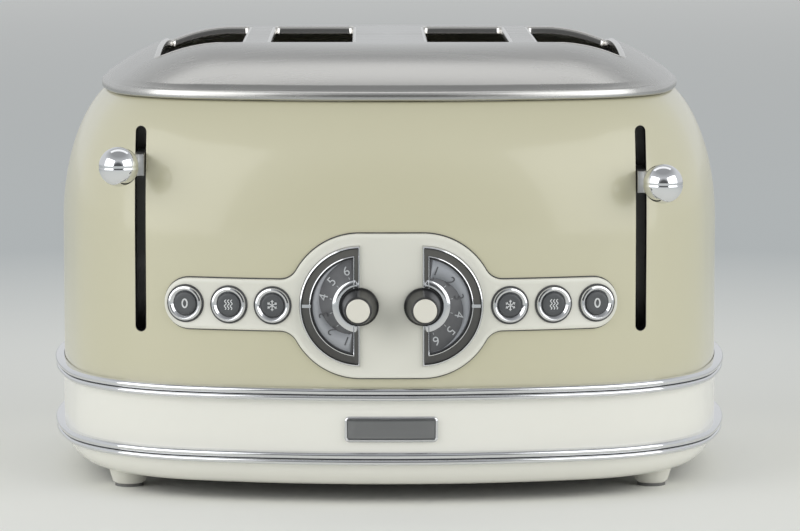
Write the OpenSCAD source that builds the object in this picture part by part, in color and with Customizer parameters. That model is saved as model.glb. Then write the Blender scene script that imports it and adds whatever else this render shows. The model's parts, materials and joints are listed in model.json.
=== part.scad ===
// Four slot pop-up toaster with a domed steel cover, a painted body and a two-part base.
// Millimetres, +Z up, front towards -Y, origin on the standing plane below the middle of the body.

/* [Body] */
// Width over the bands
body_w = 325; // [310:1:345]
// Depth over the bands
body_d = 300; // [290:1:320]
// Radius of the bowed front and back
front_r = 330; // [320:1:345]
// Radius of the bowed sides
side_r = 300; // [290:1:320]
// Radius of the plan's corners
corner_r = 85; // [82:1:90]
// Height of the body's upper edge
body_top_z = 184; // [180:1:190]
// Thickness of the painted steel body
body_wall = 1.6; // [1.2:0.1:2]
// How far the body stands inside the bands
body_inset = 4.5; // [4:0.1:5]

/* [Cover] */
// Height of the domed cover above the body
dome_h = 24; // [20:1:28]
// Thickness of the cover's sheet
dome_wall = 1.2; // [1:0.1:1.6]
// Width of a bread slot
slot_w = 41; // [38:1:42]
// Length of a bread slot
slot_l = 140; // [130:1:142]

/* [Base] */
// Height of the split between the body and the base skirt
split_z = 52; // [48:1:52]
// Height of the feet below the base
foot_h = 8.5; // [8:0.5:10]
// Wall of the base skirt
skirt_wall = 2.4; // [2:0.1:3]
// Height of each band
band_h = 6; // [5:0.5:7]

/* [Controls] */
// Distance of each dial from the middle
dial_x = 14.2; // [14:0.1:15]
// Height of the dials' centres
dial_z = 92.4; // [88:0.1:94]
// Outer radius of the dial bezel
bezel_r = 27.5; // [27:0.1:28]
// Radius of a knob at its base
knob_r = 8.7; // [8:0.1:9]
// How far a knob stands out of the panel
knob_l = 19; // [17:0.5:20]
// Distance between the buttons
button_pitch = 20; // [19:0.5:21]
// Radius of a button's grey cap
button_r = 5.2; // [4.8:0.1:5.4]
// Travel of a button
button_travel = 2; // [1.5:0.1:2.5]

/* [Levers] */
// Distance of the lever slots from the middle
lever_x = 115; // [113:0.5:117]
// Height of the left lever at rest
left_lever_z = 155; // [152:0.5:158]
// Height of the right lever at rest
right_lever_z = 147; // [145:0.5:150]
// Lowest height of a lever
lever_low_z = 85; // [84:0.5:88]
// Highest height of a lever
lever_high_z = 165; // [162:0.5:166]
// Radius of the lever's ball
ball_r = 9.1; // [8:0.1:9.5]

/* [Hidden] */
$fn = 48;

STEEL = "silver";
CREAM = "#c8c3a6";
WHITE = "#e2e2da";
GREY = "#6d7072";
BLACK = "#202122";
MICA = "#b9a888";

// Plan arcs: each bowed side and each corner is one arc, all tangent to the next.
front_c = front_r - body_d / 2;
side_c = body_w / 2 - side_r;
front_reach = front_r - corner_r;
side_reach = side_r - corner_r;
span = norm([front_c, side_c]);
along = (front_reach * front_reach - side_reach * side_reach + span * span) / (2 * span);
across = sqrt(front_reach * front_reach - along * along);
corner_x = (along * side_c + across * front_c) / span;
corner_y = (along * front_c - across * side_c) / span - front_c;
front_turn = atan2(corner_x, front_c + corner_y);
side_turn = atan2(corner_y, corner_x - side_c);

// Clearances
touch = 0.3;
run_fit = 0.05;
eps = 0.01;

// Where the body's parts lie
skin_r = front_r - body_inset;
shoulder_z = 120;
shoulder_w = 36;
shoulder_h = 70;
shoulder_steps = 8;
rim_inset = 23.5;
rim_h = 4;
flat_inset = 72;
dome_power = 1.9;
dome_steps = 8;
hem_w = 4;
body_lip = 36;
side_steps = 6;
corner_steps = 8;
pan_z = foot_h + 2;
lower_band_z = 19.5;
upper_band_z = split_z - 3;
skirt_inset = 4.2;
skirt_turn = 17;
slot_bridge = 11;
slot_inner_x = 16.5 + slot_w / 2;
slot_outer_x = slot_inner_x + slot_w + slot_bridge;
card_offset = (slot_w + slot_bridge) / 2;
chassis_x = slot_outer_x + card_offset + 5;
chassis_y = slot_l / 2 + 12;
chassis_t = 1;
floor_z = 25.5;
tray_z = 27.6;
tray_h = 9;
panel_t = 2.4;
panel_face_r = skin_r + panel_t;
arm_h = 23.3;
panel_reach = 105;
panel_r = 33;
inner_button_x = 54;
bezel_gap = 0.1;
dial_tilt = asin(dial_x / skin_r);
knob_shaft_r = 3;
lever_arm_t = 4;
lever_arm_h = 9.8;
lever_slot_w = 4.8;
lever_slot_low = 78;
lever_slot_high = 171.4;
lever_turn = asin((lever_x - corner_x) / (corner_r - body_inset));
lever_front = -corner_y - sqrt(pow(corner_r - body_inset, 2) - pow(lever_x - corner_x, 2));
lever_cut = 32;
ball_reach = corner_r + 11.6;
arm_bend = corner_r - body_inset + 2.5;
rack_drop = 43;
plate_y = -chassis_y - 10;
plate_t = 1.6;
board_y = 28.4 - body_d / 2;
rod_x = (slot_inner_x + slot_outer_x) / 2;
rod_y = plate_y - 8;
rod_r = 2.5;
hub_r = 7;
foot_x = body_w / 2 - 39.5;
foot_y = body_d / 2 - 68;
foot_r = 9.7;
pad_r = 6.6;
pad_h = 1.5;
screw_x = chassis_x - 30;
screw_y = chassis_y - 12;
screw_r = 1.6;
thread_r = screw_r - run_fit;
chassis_top = 179.6;
chassis_base = floor_z + 1.6;
chassis_h = chassis_top - chassis_base;
collar_lap = 1.7;
collar_gap = 1.2;
card_low = 44;
card_h = 132;
tray_x = rod_x - 4;
tray_w = 84;
tray_wall = 1;
latch_x = rod_x - 18;
arm_end = ball_reach - 6;
rack_l = 2 * chassis_y - 9;
rack_front = plate_y + 12.7;
badge_z = 35.8;
gland_z = 36;
gland_r = 4.9;
nut_r = 7.5;
nut_h = 4;
dome_nut_h = 8;
front_end = (panel_face_r + knob_l) * cos(dial_tilt) + 5 * sin(dial_tilt) - front_c;

// Inset of the body's surface at height z
function skin_inset(z) = body_inset + (z < shoulder_z ? 0 :
    shoulder_w * (1 - sqrt(1 - pow((z - shoulder_z) / shoulder_h, 2))));
// Height of the dome at a share s of its slope
function dome_at(s) = body_top_z + rim_h + (dome_h - rim_h) * (1 - pow(1 - s, dome_power));
// Inset of a point in the plan's quarter where both places are positive
function inset_at(x, y) =
    atan2(x, front_c + y) <= front_turn ? front_r - norm([x, front_c + y]) :
    atan2(y, x - side_c) <= side_turn ? side_r - norm([x - side_c, y]) :
    corner_r - norm([x - corner_x, y - corner_y]);
// Height of a collar, just under the dome at the outer slots' corners
function collar_top() = let (corner = inset_at(slot_outer_x + slot_w / 2 + collar_lap, slot_l / 2 + collar_lap))
    dome_at(min((corner - rim_inset) / (flat_inset - rim_inset), 1)) - dome_wall - collar_gap;
function skin_points() = concat([[body_inset, split_z]],
    [for (i = [0:shoulder_steps]) let (z = shoulder_z + (body_top_z - shoulder_z) * i / shoulder_steps)
        [skin_inset(z), z]]);
function dome_points() = concat([[rim_inset, body_top_z + touch]],
    [for (i = [0:dome_steps]) [rim_inset + (flat_inset - rim_inset) * i / dome_steps, dome_at(i / dome_steps)]]);
function backwards(points) = [for (i = [len(points) - 1:-1:0]) points[i]];

// Stations round the plan: each is an arc's centre, its radius and a direction from the centre
function arc_stations(x, y, r, from, to, steps) =
    [for (i = [0:steps - 1]) [x, y, r, from + (to - from) * i / steps]];
stations = concat(
    arc_stations(0, front_c, front_r, 270 - front_turn, 270 + front_turn, side_steps),
    arc_stations(corner_x, -corner_y, corner_r, 270 + front_turn, 360 - side_turn, corner_steps),
    arc_stations(side_c, 0, side_r, -side_turn, side_turn, side_steps),
    arc_stations(corner_x, corner_y, corner_r, side_turn, 90 - front_turn, corner_steps),
    arc_stations(0, -front_c, front_r, 90 - front_turn, 90 + front_turn, side_steps),
    arc_stations(-corner_x, corner_y, corner_r, 90 + front_turn, 180 - side_turn, corner_steps),
    arc_stations(-side_c, 0, side_r, 180 - side_turn, 180 + side_turn, side_steps),
    arc_stations(-corner_x, -corner_y, corner_r, 180 + side_turn, 270 - front_turn, corner_steps));
turns = len(stations);
// Point at a station, at an inset from the plan's outer line
function at_station(st, inset) = [st[0] + (st[2] - inset) * cos(st[3]), st[1] + (st[2] - inset) * sin(st[3])];
function loft_points(profile) =
    [for (st = stations, p = profile) concat(at_station(st, p[0]), p[1])];

// A closed ring round the whole plan, from a profile that goes up outside and down inside
module ring(profile) {
    m = len(profile);
    faces = [for (i = [0:turns - 1], j = [0:m - 1]) let (n = (i + 1) % turns, k = (j + 1) % m)
        [i * m + j, i * m + k, n * m + k, n * m + j]];
    polyhedron(loft_points(profile), faces);
}

// A shell over the whole plan, open below, from a profile that goes up outside and down inside
module cap(outer, inner) {
    profile = concat(outer, backwards(inner));
    m = len(profile);
    top = len(outer) - 1;
    sides = [for (i = [0:turns - 1], j = [0:m - 1]) let (n = (i + 1) % turns, k = (j + 1) % m)
        if (j != top) [i * m + j, i * m + k, n * m + k, n * m + j]];
    upper = [for (i = [turns - 1:-1:0]) i * m + top];
    under = [for (i = [0:turns - 1]) i * m + top + 1];
    polyhedron(loft_points(profile), concat(sides, [upper, under]));
}

// A flat plate over the whole plan
module deck(inset, z, t) {
    translate([0, 0, z]) linear_extrude(t) polygon([for (st = stations) at_station(st, inset)]);
}

// A sheet that follows the bowed front
module front_sheet(inset, z, t, h) {
    half = 19.5;
    translate([0, front_c, 0]) rotate([0, 0, 270 - half]) rotate_extrude(angle = 2 * half, $fn = 96)
        translate([front_r - inset - t, z]) square([t, h]);
}

// Moves children onto the bowed front at angle a, their +Z pointing out of it, at height z
module on_front(a, z, r = skin_r) {
    translate([0, front_c, z]) rotate([0, 0, a]) translate([0, -r, 0]) rotate([90, 0, 0]) children();
}

// Moves children onto the corner at the lever, their +X pointing out of it
module at_lever(s) {
    mirror([s < 0 ? 1 : 0, 0, 0])
        translate([corner_x, -corner_y, 0]) rotate([0, 0, lever_turn - 90]) children();
}

function button_turn(s, i) = s * asin((inner_button_x + i * button_pitch) / panel_face_r);
function lever_z(s) = s < 0 ? left_lever_z : right_lever_z;
function rack_z(s) = lever_z(s) - rack_drop;

module round_bar(x1, x2, r, h) {
    translate([x1, 0, 0]) cylinder(r = r, h = h);
    translate([x2, 0, 0]) cylinder(r = r, h = h);
    translate([x1, -r, 0]) cube([x2 - x1, 2 * r, h]);
}

module dial_sector(s, r, hole, h) {
    intersection() {
        difference() {
            cylinder(r = r, h = h);
            translate([0, 0, -1]) cylinder(r = hole, h = h + 2);
        }
        translate([s > 0 ? 0 : -r - 1, -r - 1, -1]) cube([r + 1, 2 * r + 2, h + 2]);
    }
}

module body_shell() {
    color(CREAM) difference() {
        ring(concat(skin_points(), [[body_lip, body_top_z], [body_lip, body_top_z - body_wall]],
            backwards([for (p = skin_points()) [p[0] + body_wall, min(p[1], body_top_z - body_wall)]])));
        for (s = [-1, 1]) {
            translate([s * lever_x, lever_front - 8, 0]) {
                translate([-lever_slot_w / 2, 0, lever_slot_low + lever_slot_w / 2])
                    cube([lever_slot_w, lever_cut, lever_slot_high - lever_slot_low - lever_slot_w]);
                for (z = [lever_slot_low, lever_slot_high - lever_slot_w])
                    translate([0, 0, z + lever_slot_w / 2]) rotate([-90, 0, 0])
                        cylinder(d = lever_slot_w, h = lever_cut);
            }
            on_front(s * dial_tilt, dial_z) translate([0, 0, -10]) {
                cylinder(r = knob_shaft_r + touch, h = 20);
                dial_sector(s, bezel_r + bezel_gap, knob_shaft_r, 20);
            }
            for (i = [0:2])
                on_front(button_turn(s, i), dial_z) translate([0, 0, -10]) cylinder(r = button_r + 1.3, h = 20);
        }
    }
}

module bread_slots(grow, z, h) {
    for (x = [-slot_outer_x, -slot_inner_x, slot_inner_x, slot_outer_x])
        translate([x - slot_w / 2 - grow, -slot_l / 2 - grow, z]) cube([slot_w + 2 * grow, slot_l + 2 * grow, h]);
}

module top_cover() {
    color(STEEL) difference() {
        cap(dome_points(), concat([[rim_inset + hem_w, body_top_z + touch],
            [rim_inset + hem_w, body_top_z + touch + dome_wall],
            [rim_inset + dome_wall, body_top_z + touch + dome_wall]],
            [for (i = [1:dome_steps + 1]) dome_points()[i] + [dome_wall, -dome_wall]]));
        bread_slots(0, body_top_z, dome_h + 10);
    }
}

// Chassis top with a folded collar that leads the bread down from each slot
module slot_collars() {
    color(GREY) difference() {
        union() {
            translate([-chassis_x, -chassis_y - chassis_t, chassis_top])
                cube([2 * chassis_x, 2 * (chassis_y + chassis_t), 1]);
            bread_slots(collar_lap, chassis_top, collar_top() - chassis_top);
        }
        bread_slots(collar_lap - 1, chassis_top - 5, dome_h + 20);
    }
}

function skirt_points() = [[skirt_turn, foot_h], [10.2, 11], [6, 15.6], [skirt_inset, lower_band_z + 1],
    [skirt_inset, split_z]];

module tray_window(s, grow) {
    translate([s * tray_x - tray_w / 2 - grow, chassis_y - 22, tray_z - grow])
        cube([tray_w + 2 * grow, body_d / 2, tray_h + 2 * grow]);
}

module base_skirt() {
    color(WHITE) difference() {
        ring(concat(skirt_points(), backwards([for (p = skirt_points())
            [p[0] + skirt_wall, max(p[1], foot_h) + (p[1] < lower_band_z ? 1.4 : 0)]])));
        for (s = [-1, 1]) tray_window(s, touch);
        translate([0, body_d / 2 - 50, gland_z]) rotate([-90, 0, 0]) cylinder(r = gland_r + 0.1, h = 60);
    }
}

// Moves children to the four base screws
module at_screws() {
    for (x = [-screw_x, screw_x], y = [-screw_y, screw_y]) translate([x, y, 0]) children();
}

module base_pan() {
    color(GREY) difference() {
        union() {
            deck(skirt_turn + skirt_wall + touch, foot_h, pan_z - foot_h);
            at_screws() translate([0, 0, foot_h]) cylinder(r = 5, h = floor_z - foot_h);
        }
        at_screws() translate([0, 0, foot_h - 1]) {
            cylinder(r = screw_r, h = floor_z);
            cylinder(r = 3.4, h = 4);
        }
    }
}

// Pan head screws that hold the base to the chassis
module base_screws() {
    color(STEEL) at_screws() translate([0, 0, foot_h + 0.8]) {
        cylinder(r = 3, h = 2.2);
        cylinder(r = thread_r, h = chassis_base - foot_h - 0.8);
    }
}

module band(z) {
    inner = skirt_inset;
    ring([[inner, z], [1.5, z], [0.6, z + 0.3], [0.3, z + 1], [0.6, z + 1.9], [1.8, z + 2.2], [1.8, z + 2.8],
        [0.5, z + 3.2], [0, z + 4], [0.2, z + 5], [1.2, z + band_h - 0.2], [inner, z + band_h]]);
}

module upper_band() {
    color(STEEL) band(upper_band_z);
}

module lower_band() {
    color(STEEL) band(lower_band_z);
}

module feet() {
    color(WHITE) for (x = [-foot_x, foot_x], y = [-foot_y, foot_y]) translate([x, y, pad_h])
        cylinder(r1 = foot_r - 2.3, r2 = foot_r, h = foot_h - pad_h);
}

module foot_pads() {
    color(GREY) for (x = [-foot_x, foot_x], y = [-foot_y, foot_y]) translate([x, y, 0])
        cylinder(r = pad_r, h = pad_h);
}

module control_panel() {
    color(WHITE) difference() {
        intersection() {
            front_sheet(body_inset - panel_t, dial_z - 45, panel_t, 90);
            translate([0, -60, dial_z]) rotate([90, 0, 0]) {
                round_bar(-dial_x, dial_x, panel_r, body_d);
                round_bar(-panel_reach + arm_h / 2, panel_reach - arm_h / 2, arm_h / 2, body_d);
            }
        }
        for (s = [-1, 1]) {
            on_front(s * dial_tilt, dial_z) translate([0, 0, -5]) {
                cylinder(r = knob_shaft_r + touch, h = 20);
                dial_sector(s, bezel_r + bezel_gap, knob_shaft_r, 20);
            }
            for (i = [0:2])
                on_front(button_turn(s, i), dial_z) translate([0, 0, -5]) cylinder(r = button_r + 1.3, h = 20);
        }
    }
}

module dial_bezel(s) {
    color(STEEL) on_front(s * dial_tilt, dial_z) translate([0, 0, -2]) dial_sector(s, bezel_r, 22, panel_t + 3.4);
}

module dial_plate(s) {
    color(GREY) on_front(s * dial_tilt, dial_z) translate([0, 0, -1.5])
        dial_sector(s, 22, knob_shaft_r + touch, panel_t + 0.9);
}

// Chrome ring of each push button, seated in the panel
module button_bezels() {
    color(STEEL) for (s = [-1, 1], i = [0:2]) on_front(button_turn(s, i), dial_z) difference() {
        union() {
            translate([0, 0, -1]) cylinder(r = button_r + 1.2, h = panel_t + 1);
            translate([0, 0, panel_t]) cylinder(r1 = 8.1, r2 = 7.4, h = 1.6);
        }
        translate([0, 0, -2]) cylinder(r = button_r + 0.1, h = panel_t + 6);
    }
}

module button(s, i) {
    color(GREY) on_front(button_turn(s, i), dial_z) {
        translate([0, 0, -2]) cylinder(r = button_r, h = panel_t + 3);
        translate([0, 0, -6]) cylinder(r = 2, h = 5);
    }
}

module knob(s) {
    color(BLACK) on_front(s * dial_tilt, dial_z) {
        translate([0, 0, panel_t + 0.4]) cylinder(r = knob_r, h = 3);
        translate([0, 0, panel_t + 3.4 - eps]) cylinder(r1 = knob_r - 0.4, r2 = 6.3, h = knob_l - 4.4);
        translate([0, 0, -14]) cylinder(r = knob_shaft_r, h = 18 + panel_t);
    }
}

module knob_cap(s) {
    color(CREAM) on_front(s * dial_tilt, dial_z) translate([0, 0, panel_t + knob_l - 1 - eps])
        cylinder(r1 = 5.6, r2 = 5, h = 1);
}

module potentiometers() {
    color(GREY) for (s = [-1, 1]) on_front(s * dial_tilt, dial_z) translate([0, 0, -23.1]) difference() {
        union() {
            cylinder(r = 9, h = 14);
            cylinder(r = 4.5, h = 22.5 - body_wall);
        }
        translate([0, 0, 3.7]) cylinder(r = knob_shaft_r + run_fit, h = 24);
    }
}

// Board that carries the switches behind the buttons
module control_board(s) {
    color("#3c5a44") {
        mirror([s < 0 ? 1 : 0, 0, 0]) translate([4, board_y, dial_z - 16]) cube([94, 1.6, 32]);
        for (i = [0:2]) on_front(button_turn(s, i), dial_z) translate([0, 0, -6.3 - button_travel])
            mirror([0, 0, 1]) cylinder(r = 3, h = 12.2 - 3.4 * i);
    }
}

module badge(h_w, h_h, inset_in, t) {
    intersection() {
        front_sheet(inset_in - t, 24, t, 24);
        translate([0, 50 - body_d / 2, badge_z]) rotate([90, 0, 0]) {
            translate([-h_w, -h_h + 2, 0]) cube([2 * h_w, 2 * h_h - 4, 60]);
            translate([-h_w + 2, -h_h, 0]) cube([2 * h_w - 4, 2 * h_h, 60]);
            for (x = [-1, 1], z = [-1, 1]) translate([x * (h_w - 2), z * (h_h - 2), 0]) cylinder(r = 2, h = 60);
        }
    }
}

module badge_frame() {
    color(STEEL) difference() {
        badge(21.3, 5.9, skirt_inset, 1.7);
        badge(19.9, 4.5, skirt_inset + 1, 4);
    }
}

module badge_plate() { color(GREY) badge(19.8, 4.4, skirt_inset, 0.9); }

// Plate that slides on the guide rod and carries the racks and the lever's arm
module carriage(s) {
    low = rack_z(s) - 3;
    top = lever_z(s) + 8;
    color(STEEL) {
        difference() {
            union() {
                translate([s * rod_x - 36, plate_y, low]) cube([72, plate_t, top - low]);
                translate([s * rod_x, rod_y, top - 24]) cylinder(r = hub_r, h = 24);
                translate([s * rod_x - 5, rod_y + 3, top - 24]) cube([10, 6, 24]);
                translate([s * latch_x - 5, plate_y - 11, low + 8]) cube([10, 12, 4]);
            }
            translate([s * rod_x, rod_y, low - 1]) cylinder(r = rod_r + run_fit, h = 140);
        }
        for (x = [slot_inner_x, slot_outer_x])
            translate([s * x - 1.5, plate_y, low]) cube([3, 12.7, 10]);
        at_lever(s) translate([arm_bend, -lever_arm_t / 2, lever_z(s) - lever_arm_h / 2])
            cube([arm_end - arm_bend, lever_arm_t, lever_arm_h]);
        mirror([s < 0 ? 1 : 0, 0, 0]) translate([0, 0, lever_z(s) - lever_arm_h / 2]) {
            translate([rod_x + 30, plate_y, 0])
                cube([lever_x + lever_arm_t / 2 - rod_x - 30, plate_t, lever_arm_h]);
            translate([lever_x - lever_arm_t / 2, lever_front - 4.5, 0])
                cube([lever_arm_t, plate_y + plate_t - lever_front + 4.5, lever_arm_h]);
        }
    }
}

module bread_racks(s) {
    color(STEEL) for (x = [slot_inner_x, slot_outer_x]) translate([s * x, 0, rack_z(s) - 3]) {
        for (side = [-1, 1]) translate([side * 6 - 1, rack_front, 0]) cube([2, rack_l, 3]);
        for (i = [0:5]) translate([-6, rack_front + i * (rack_l - 2) / 5, 0]) cube([12, 2, 3]);
    }
}

// Chromed ball, bored for the arm's end
module lever_ball(s) {
    color(STEEL) at_lever(s) translate([ball_reach, 0, lever_z(s)]) difference() {
        sphere(r = ball_r, $fn = 64);
        translate([-ball_r - 1, -lever_arm_t / 2, -lever_arm_h / 2])
            cube([ball_r + 1 - 6, lever_arm_t, lever_arm_h]);
    }
}

module guide_rods() {
    color(STEEL) for (s = [-1, 1]) translate([s * rod_x, rod_y, pan_z])
        cylinder(r = rod_r, h = body_top_z - body_wall - pan_z - touch);
}

module lift_spring(s) {
    color(STEEL) translate([s * rod_x, rod_y, pan_z + touch]) difference() {
        cylinder(r = 5, h = lever_z(s) - 16 - pan_z - 2 * touch);
        translate([0, 0, -1]) cylinder(r = rod_r + touch, h = 200);
    }
}

module latch_magnets() {
    color(GREY) for (s = [-1, 1]) translate([s * latch_x - 9, plate_y - 19, pan_z])
        cube([18, 12, lever_low_z - rack_drop + 4.5 - pan_z]);
}

module chassis_floor() {
    color(STEEL) difference() {
        translate([-chassis_x, -chassis_y, floor_z]) cube([2 * chassis_x, 2 * chassis_y, chassis_base - floor_z]);
        at_screws() translate([0, 0, floor_z - 1]) cylinder(r = screw_r, h = 4);
    }
}

module chassis_plate(y) {
    translate([-chassis_x, y, chassis_base]) cube([2 * chassis_x, chassis_t, chassis_h]);
}

module chassis_front() {
    color(STEEL) difference() {
        chassis_plate(-chassis_y);
        for (x = [-slot_outer_x, -slot_inner_x, slot_inner_x, slot_outer_x])
            translate([x - 3, -chassis_y - 1, lever_low_z - rack_drop - 6])
                cube([6, 4, lever_high_z - lever_low_z + 20]);
    }
}

module chassis_rear() {
    color(STEEL) difference() {
        chassis_plate(chassis_y - chassis_t);
        for (s = [-1, 1]) translate([0, 0, -1]) tray_window(s, touch + 1);
    }
}

module side_reflectors() {
    color(STEEL) for (s = [-1, 1])
        translate([s * (chassis_x - 1) - 0.5, -chassis_y + chassis_t, chassis_base])
            cube([1, 2 * (chassis_y - chassis_t), chassis_h]);
}

module centre_partition() {
    color(STEEL) translate([-2, -chassis_y + chassis_t, chassis_base])
        cube([4, 2 * (chassis_y - chassis_t), chassis_h]);
}

module heater_cards() {
    color(MICA) for (s = [-1, 1], x = [slot_inner_x - card_offset, rod_x, slot_outer_x + card_offset])
        translate([s * x - 0.5, -chassis_y + chassis_t + 0.2, card_low])
            cube([1, 2 * (chassis_y - chassis_t - 0.2), card_h]);
}

// Flat heating ribbon folded to and fro over a card's face
module ribbon(x, out) {
    rows = 9;
    pitch = 13;
    translate([out > 0 ? x + 0.5 : x - 0.9, -66, 54]) {
        for (i = [0:rows - 1]) translate([0, 0, i * pitch]) cube([0.4, 132, 2.4]);
        for (i = [0:rows - 2]) translate([0, i % 2 == 0 ? 129.6 : 0, i * pitch]) cube([0.4, 2.4, pitch + 2.4]);
    }
}

module heater_ribbons() {
    color(STEEL) for (s = [-1, 1]) {
        ribbon(s * (slot_inner_x - card_offset), s);
        for (out = [-1, 1]) ribbon(s * rod_x, out);
        ribbon(s * (slot_outer_x + card_offset), -s);
    }
}

// Wire guards beside the bread that close in on it as the carriage goes down
module guards(s, side) {
    color(STEEL) for (x = [slot_inner_x, slot_outer_x]) translate([s * x + side * (slot_w / 2 - 3.5), 0, 0]) {
        for (y = [-60, -30, 0, 30, 60]) translate([0, y, 48]) cylinder(r = 0.9, h = 128, $fn = 24);
        for (z = [48, 175]) translate([-1, -chassis_y + 1.3, z]) cube([2, 2 * chassis_y - 2.6, 2]);
    }
}

module crumb_tray(s) {
    front = 10 - chassis_y;
    back = body_d / 2 - 26;
    left = s * tray_x - tray_w / 2;
    color(STEEL) {
        difference() {
            translate([left, front, tray_z]) cube([tray_w, back - front, tray_h]);
            translate([left + tray_wall, front + tray_wall, tray_z + tray_wall])
                cube([tray_w - 2 * tray_wall, back - front - 2 * tray_wall, tray_h]);
        }
        intersection() {
            mirror([0, 1, 0]) front_sheet(skirt_inset, tray_z, 24, tray_h);
            translate([left, back - 1, tray_z]) cube([tray_w, 40, tray_h]);
        }
        translate([s * tray_x - 16, body_d / 2 - 16, tray_z + 3]) cube([32, 20, 3]);
    }
}

// Cable gland in the skirt's back wall, with a lock nut inside and a bored dome nut outside
module cord_gland() {
    wall_y = body_d / 2 - skirt_inset;
    color(BLACK) translate([0, wall_y - skirt_wall - 4.5, gland_z]) rotate([-90, 0, 0]) difference() {
        union() {
            cylinder(r = gland_r, h = 14);
            cylinder(r = nut_r, h = nut_h);
            translate([0, 0, skirt_wall + nut_h + 0.6]) cylinder(r = nut_r, h = dome_nut_h);
            translate([0, 0, skirt_wall + nut_h + 0.6 + dome_nut_h - eps])
                cylinder(r1 = 6.8, r2 = 5, h = front_end - wall_y - dome_nut_h - 0.1 + eps);
        }
        translate([0, 0, -1]) cylinder(r = 3.2, h = 40);
    }
}

body_shell();
top_cover();
slot_collars();
base_skirt();
base_pan();
upper_band();
lower_band();
feet();
foot_pads();
base_screws();
control_panel();
dial_bezel(-1);  // dial_bezel_left
dial_bezel(1);  // dial_bezel_right
dial_plate(-1);  // dial_plate_left
dial_plate(1);  // dial_plate_right
button_bezels();
badge_frame();
badge_plate();
knob(-1);  // knob_left
knob(1);  // knob_right
knob_cap(-1);  // knob_cap_left
knob_cap(1);  // knob_cap_right
potentiometers();
control_board(-1);  // control_board_left
control_board(1);  // control_board_right
button(-1, 2);  // button_left_outer
button(-1, 1);  // button_left_middle
button(-1, 0);  // button_left_inner
button(1, 0);  // button_right_inner
button(1, 1);  // button_right_middle
button(1, 2);  // button_right_outer
carriage(-1);  // carriage_left
carriage(1);  // carriage_right
bread_racks(-1);  // bread_racks_left
bread_racks(1);  // bread_racks_right
lever_ball(-1);  // lever_ball_left
lever_ball(1);  // lever_ball_right
guide_rods();
lift_spring(-1);  // lift_spring_left
lift_spring(1);  // lift_spring_right
latch_magnets();
chassis_floor();
chassis_front();
chassis_rear();
side_reflectors();
centre_partition();
heater_cards();
heater_ribbons();
guards(-1, 1);  // guards_left_a
guards(-1, -1);  // guards_left_b
guards(1, 1);  // guards_right_a
guards(1, -1);  // guards_right_b
crumb_tray(-1);  // crumb_tray_left
crumb_tray(1);  // crumb_tray_right
cord_gland();
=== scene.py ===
"""A four slot pop-up toaster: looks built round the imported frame, in metres, front towards -Y."""

import json
import logging
import math
from dataclasses import dataclass, field
from enum import Enum
from typing import Callable, Iterable, Sequence

import bmesh
import bpy
from mathutils import Matrix, Vector


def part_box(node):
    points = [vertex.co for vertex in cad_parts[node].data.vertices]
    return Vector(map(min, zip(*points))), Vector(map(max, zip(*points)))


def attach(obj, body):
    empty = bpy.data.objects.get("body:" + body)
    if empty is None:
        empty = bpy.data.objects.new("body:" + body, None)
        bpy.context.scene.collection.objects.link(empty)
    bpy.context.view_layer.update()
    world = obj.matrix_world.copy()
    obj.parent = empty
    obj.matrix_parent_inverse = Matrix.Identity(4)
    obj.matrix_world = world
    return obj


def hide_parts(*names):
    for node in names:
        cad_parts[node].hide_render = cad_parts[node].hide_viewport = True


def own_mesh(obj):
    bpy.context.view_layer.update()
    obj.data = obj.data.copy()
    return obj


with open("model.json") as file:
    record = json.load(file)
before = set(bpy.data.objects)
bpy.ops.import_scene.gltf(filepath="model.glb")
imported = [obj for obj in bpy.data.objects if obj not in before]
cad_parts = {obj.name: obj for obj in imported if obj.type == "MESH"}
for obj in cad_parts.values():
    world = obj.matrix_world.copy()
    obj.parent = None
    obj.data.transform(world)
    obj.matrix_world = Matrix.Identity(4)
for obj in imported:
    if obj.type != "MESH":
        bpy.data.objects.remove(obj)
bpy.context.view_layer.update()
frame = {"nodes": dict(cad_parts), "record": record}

LOG = logging.getLogger("toaster")
MM = 0.001
BUMP_STRENGTH = 0.35
LEAST_ROUGHNESS = 0.02
WELD = 0.000002
Point2 = tuple[float, float]


class Side(Enum):
    """Left or right half of the toaster, seen from the front."""

    LEFT = -1
    RIGHT = 1

    @property
    def word(self) -> str:
        """The side's name as the frame's nodes spell it."""
        return self.name.lower()


class Place(Enum):
    """Place of a push button on its arm of the panel, counted from the dial outwards."""

    INNER = 0
    MIDDLE = 1
    OUTER = 2


class Mark(Enum):
    """Symbol printed on a push button."""

    ZERO = "zero"
    HEAT = "heat"
    FROST = "frost"


def linear(red: int, green: int, blue: int) -> tuple[float, float, float, float]:
    """Turns a screen colour into the linear colour that a shader takes.

    Args:
        red: Red, 0 to 255.
        green: Green, 0 to 255.
        blue: Blue, 0 to 255.

    Returns:
        The linear colour with an alpha of 1.
    """
    def one(value: int) -> float:
        """Linear value of one channel."""
        share = value / 255
        return share / 12.92 if share <= 0.04045 else ((share + 0.055) / 1.055) ** 2.4

    return one(red), one(green), one(blue), 1.0


def add_node(tree: bpy.types.NodeTree, kind: str, inputs: dict | None = None, **settings) -> bpy.types.Node:
    """Adds a node with its settings and the values of its inputs.

    Args:
        tree: The tree that takes it.
        kind: Type of the node.
        inputs: Value of each named or numbered input.
        settings: Value of each setting.

    Returns:
        The node.
    """
    node = tree.nodes.new(kind)
    for name, value in settings.items():
        setattr(node, name, value)
    for key, value in (inputs or {}).items():
        node.inputs[key].default_value = value
    return node


def link_object(name: str, data: bpy.types.ID) -> bpy.types.Object:
    """Makes an object round its data and links it to the scene.

    Args:
        name: Name of the object.
        data: Its mesh, curve, lamp or camera.

    Returns:
        The object.
    """
    made = bpy.data.objects.new(name, data)
    bpy.context.scene.collection.objects.link(made)
    return made


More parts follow.
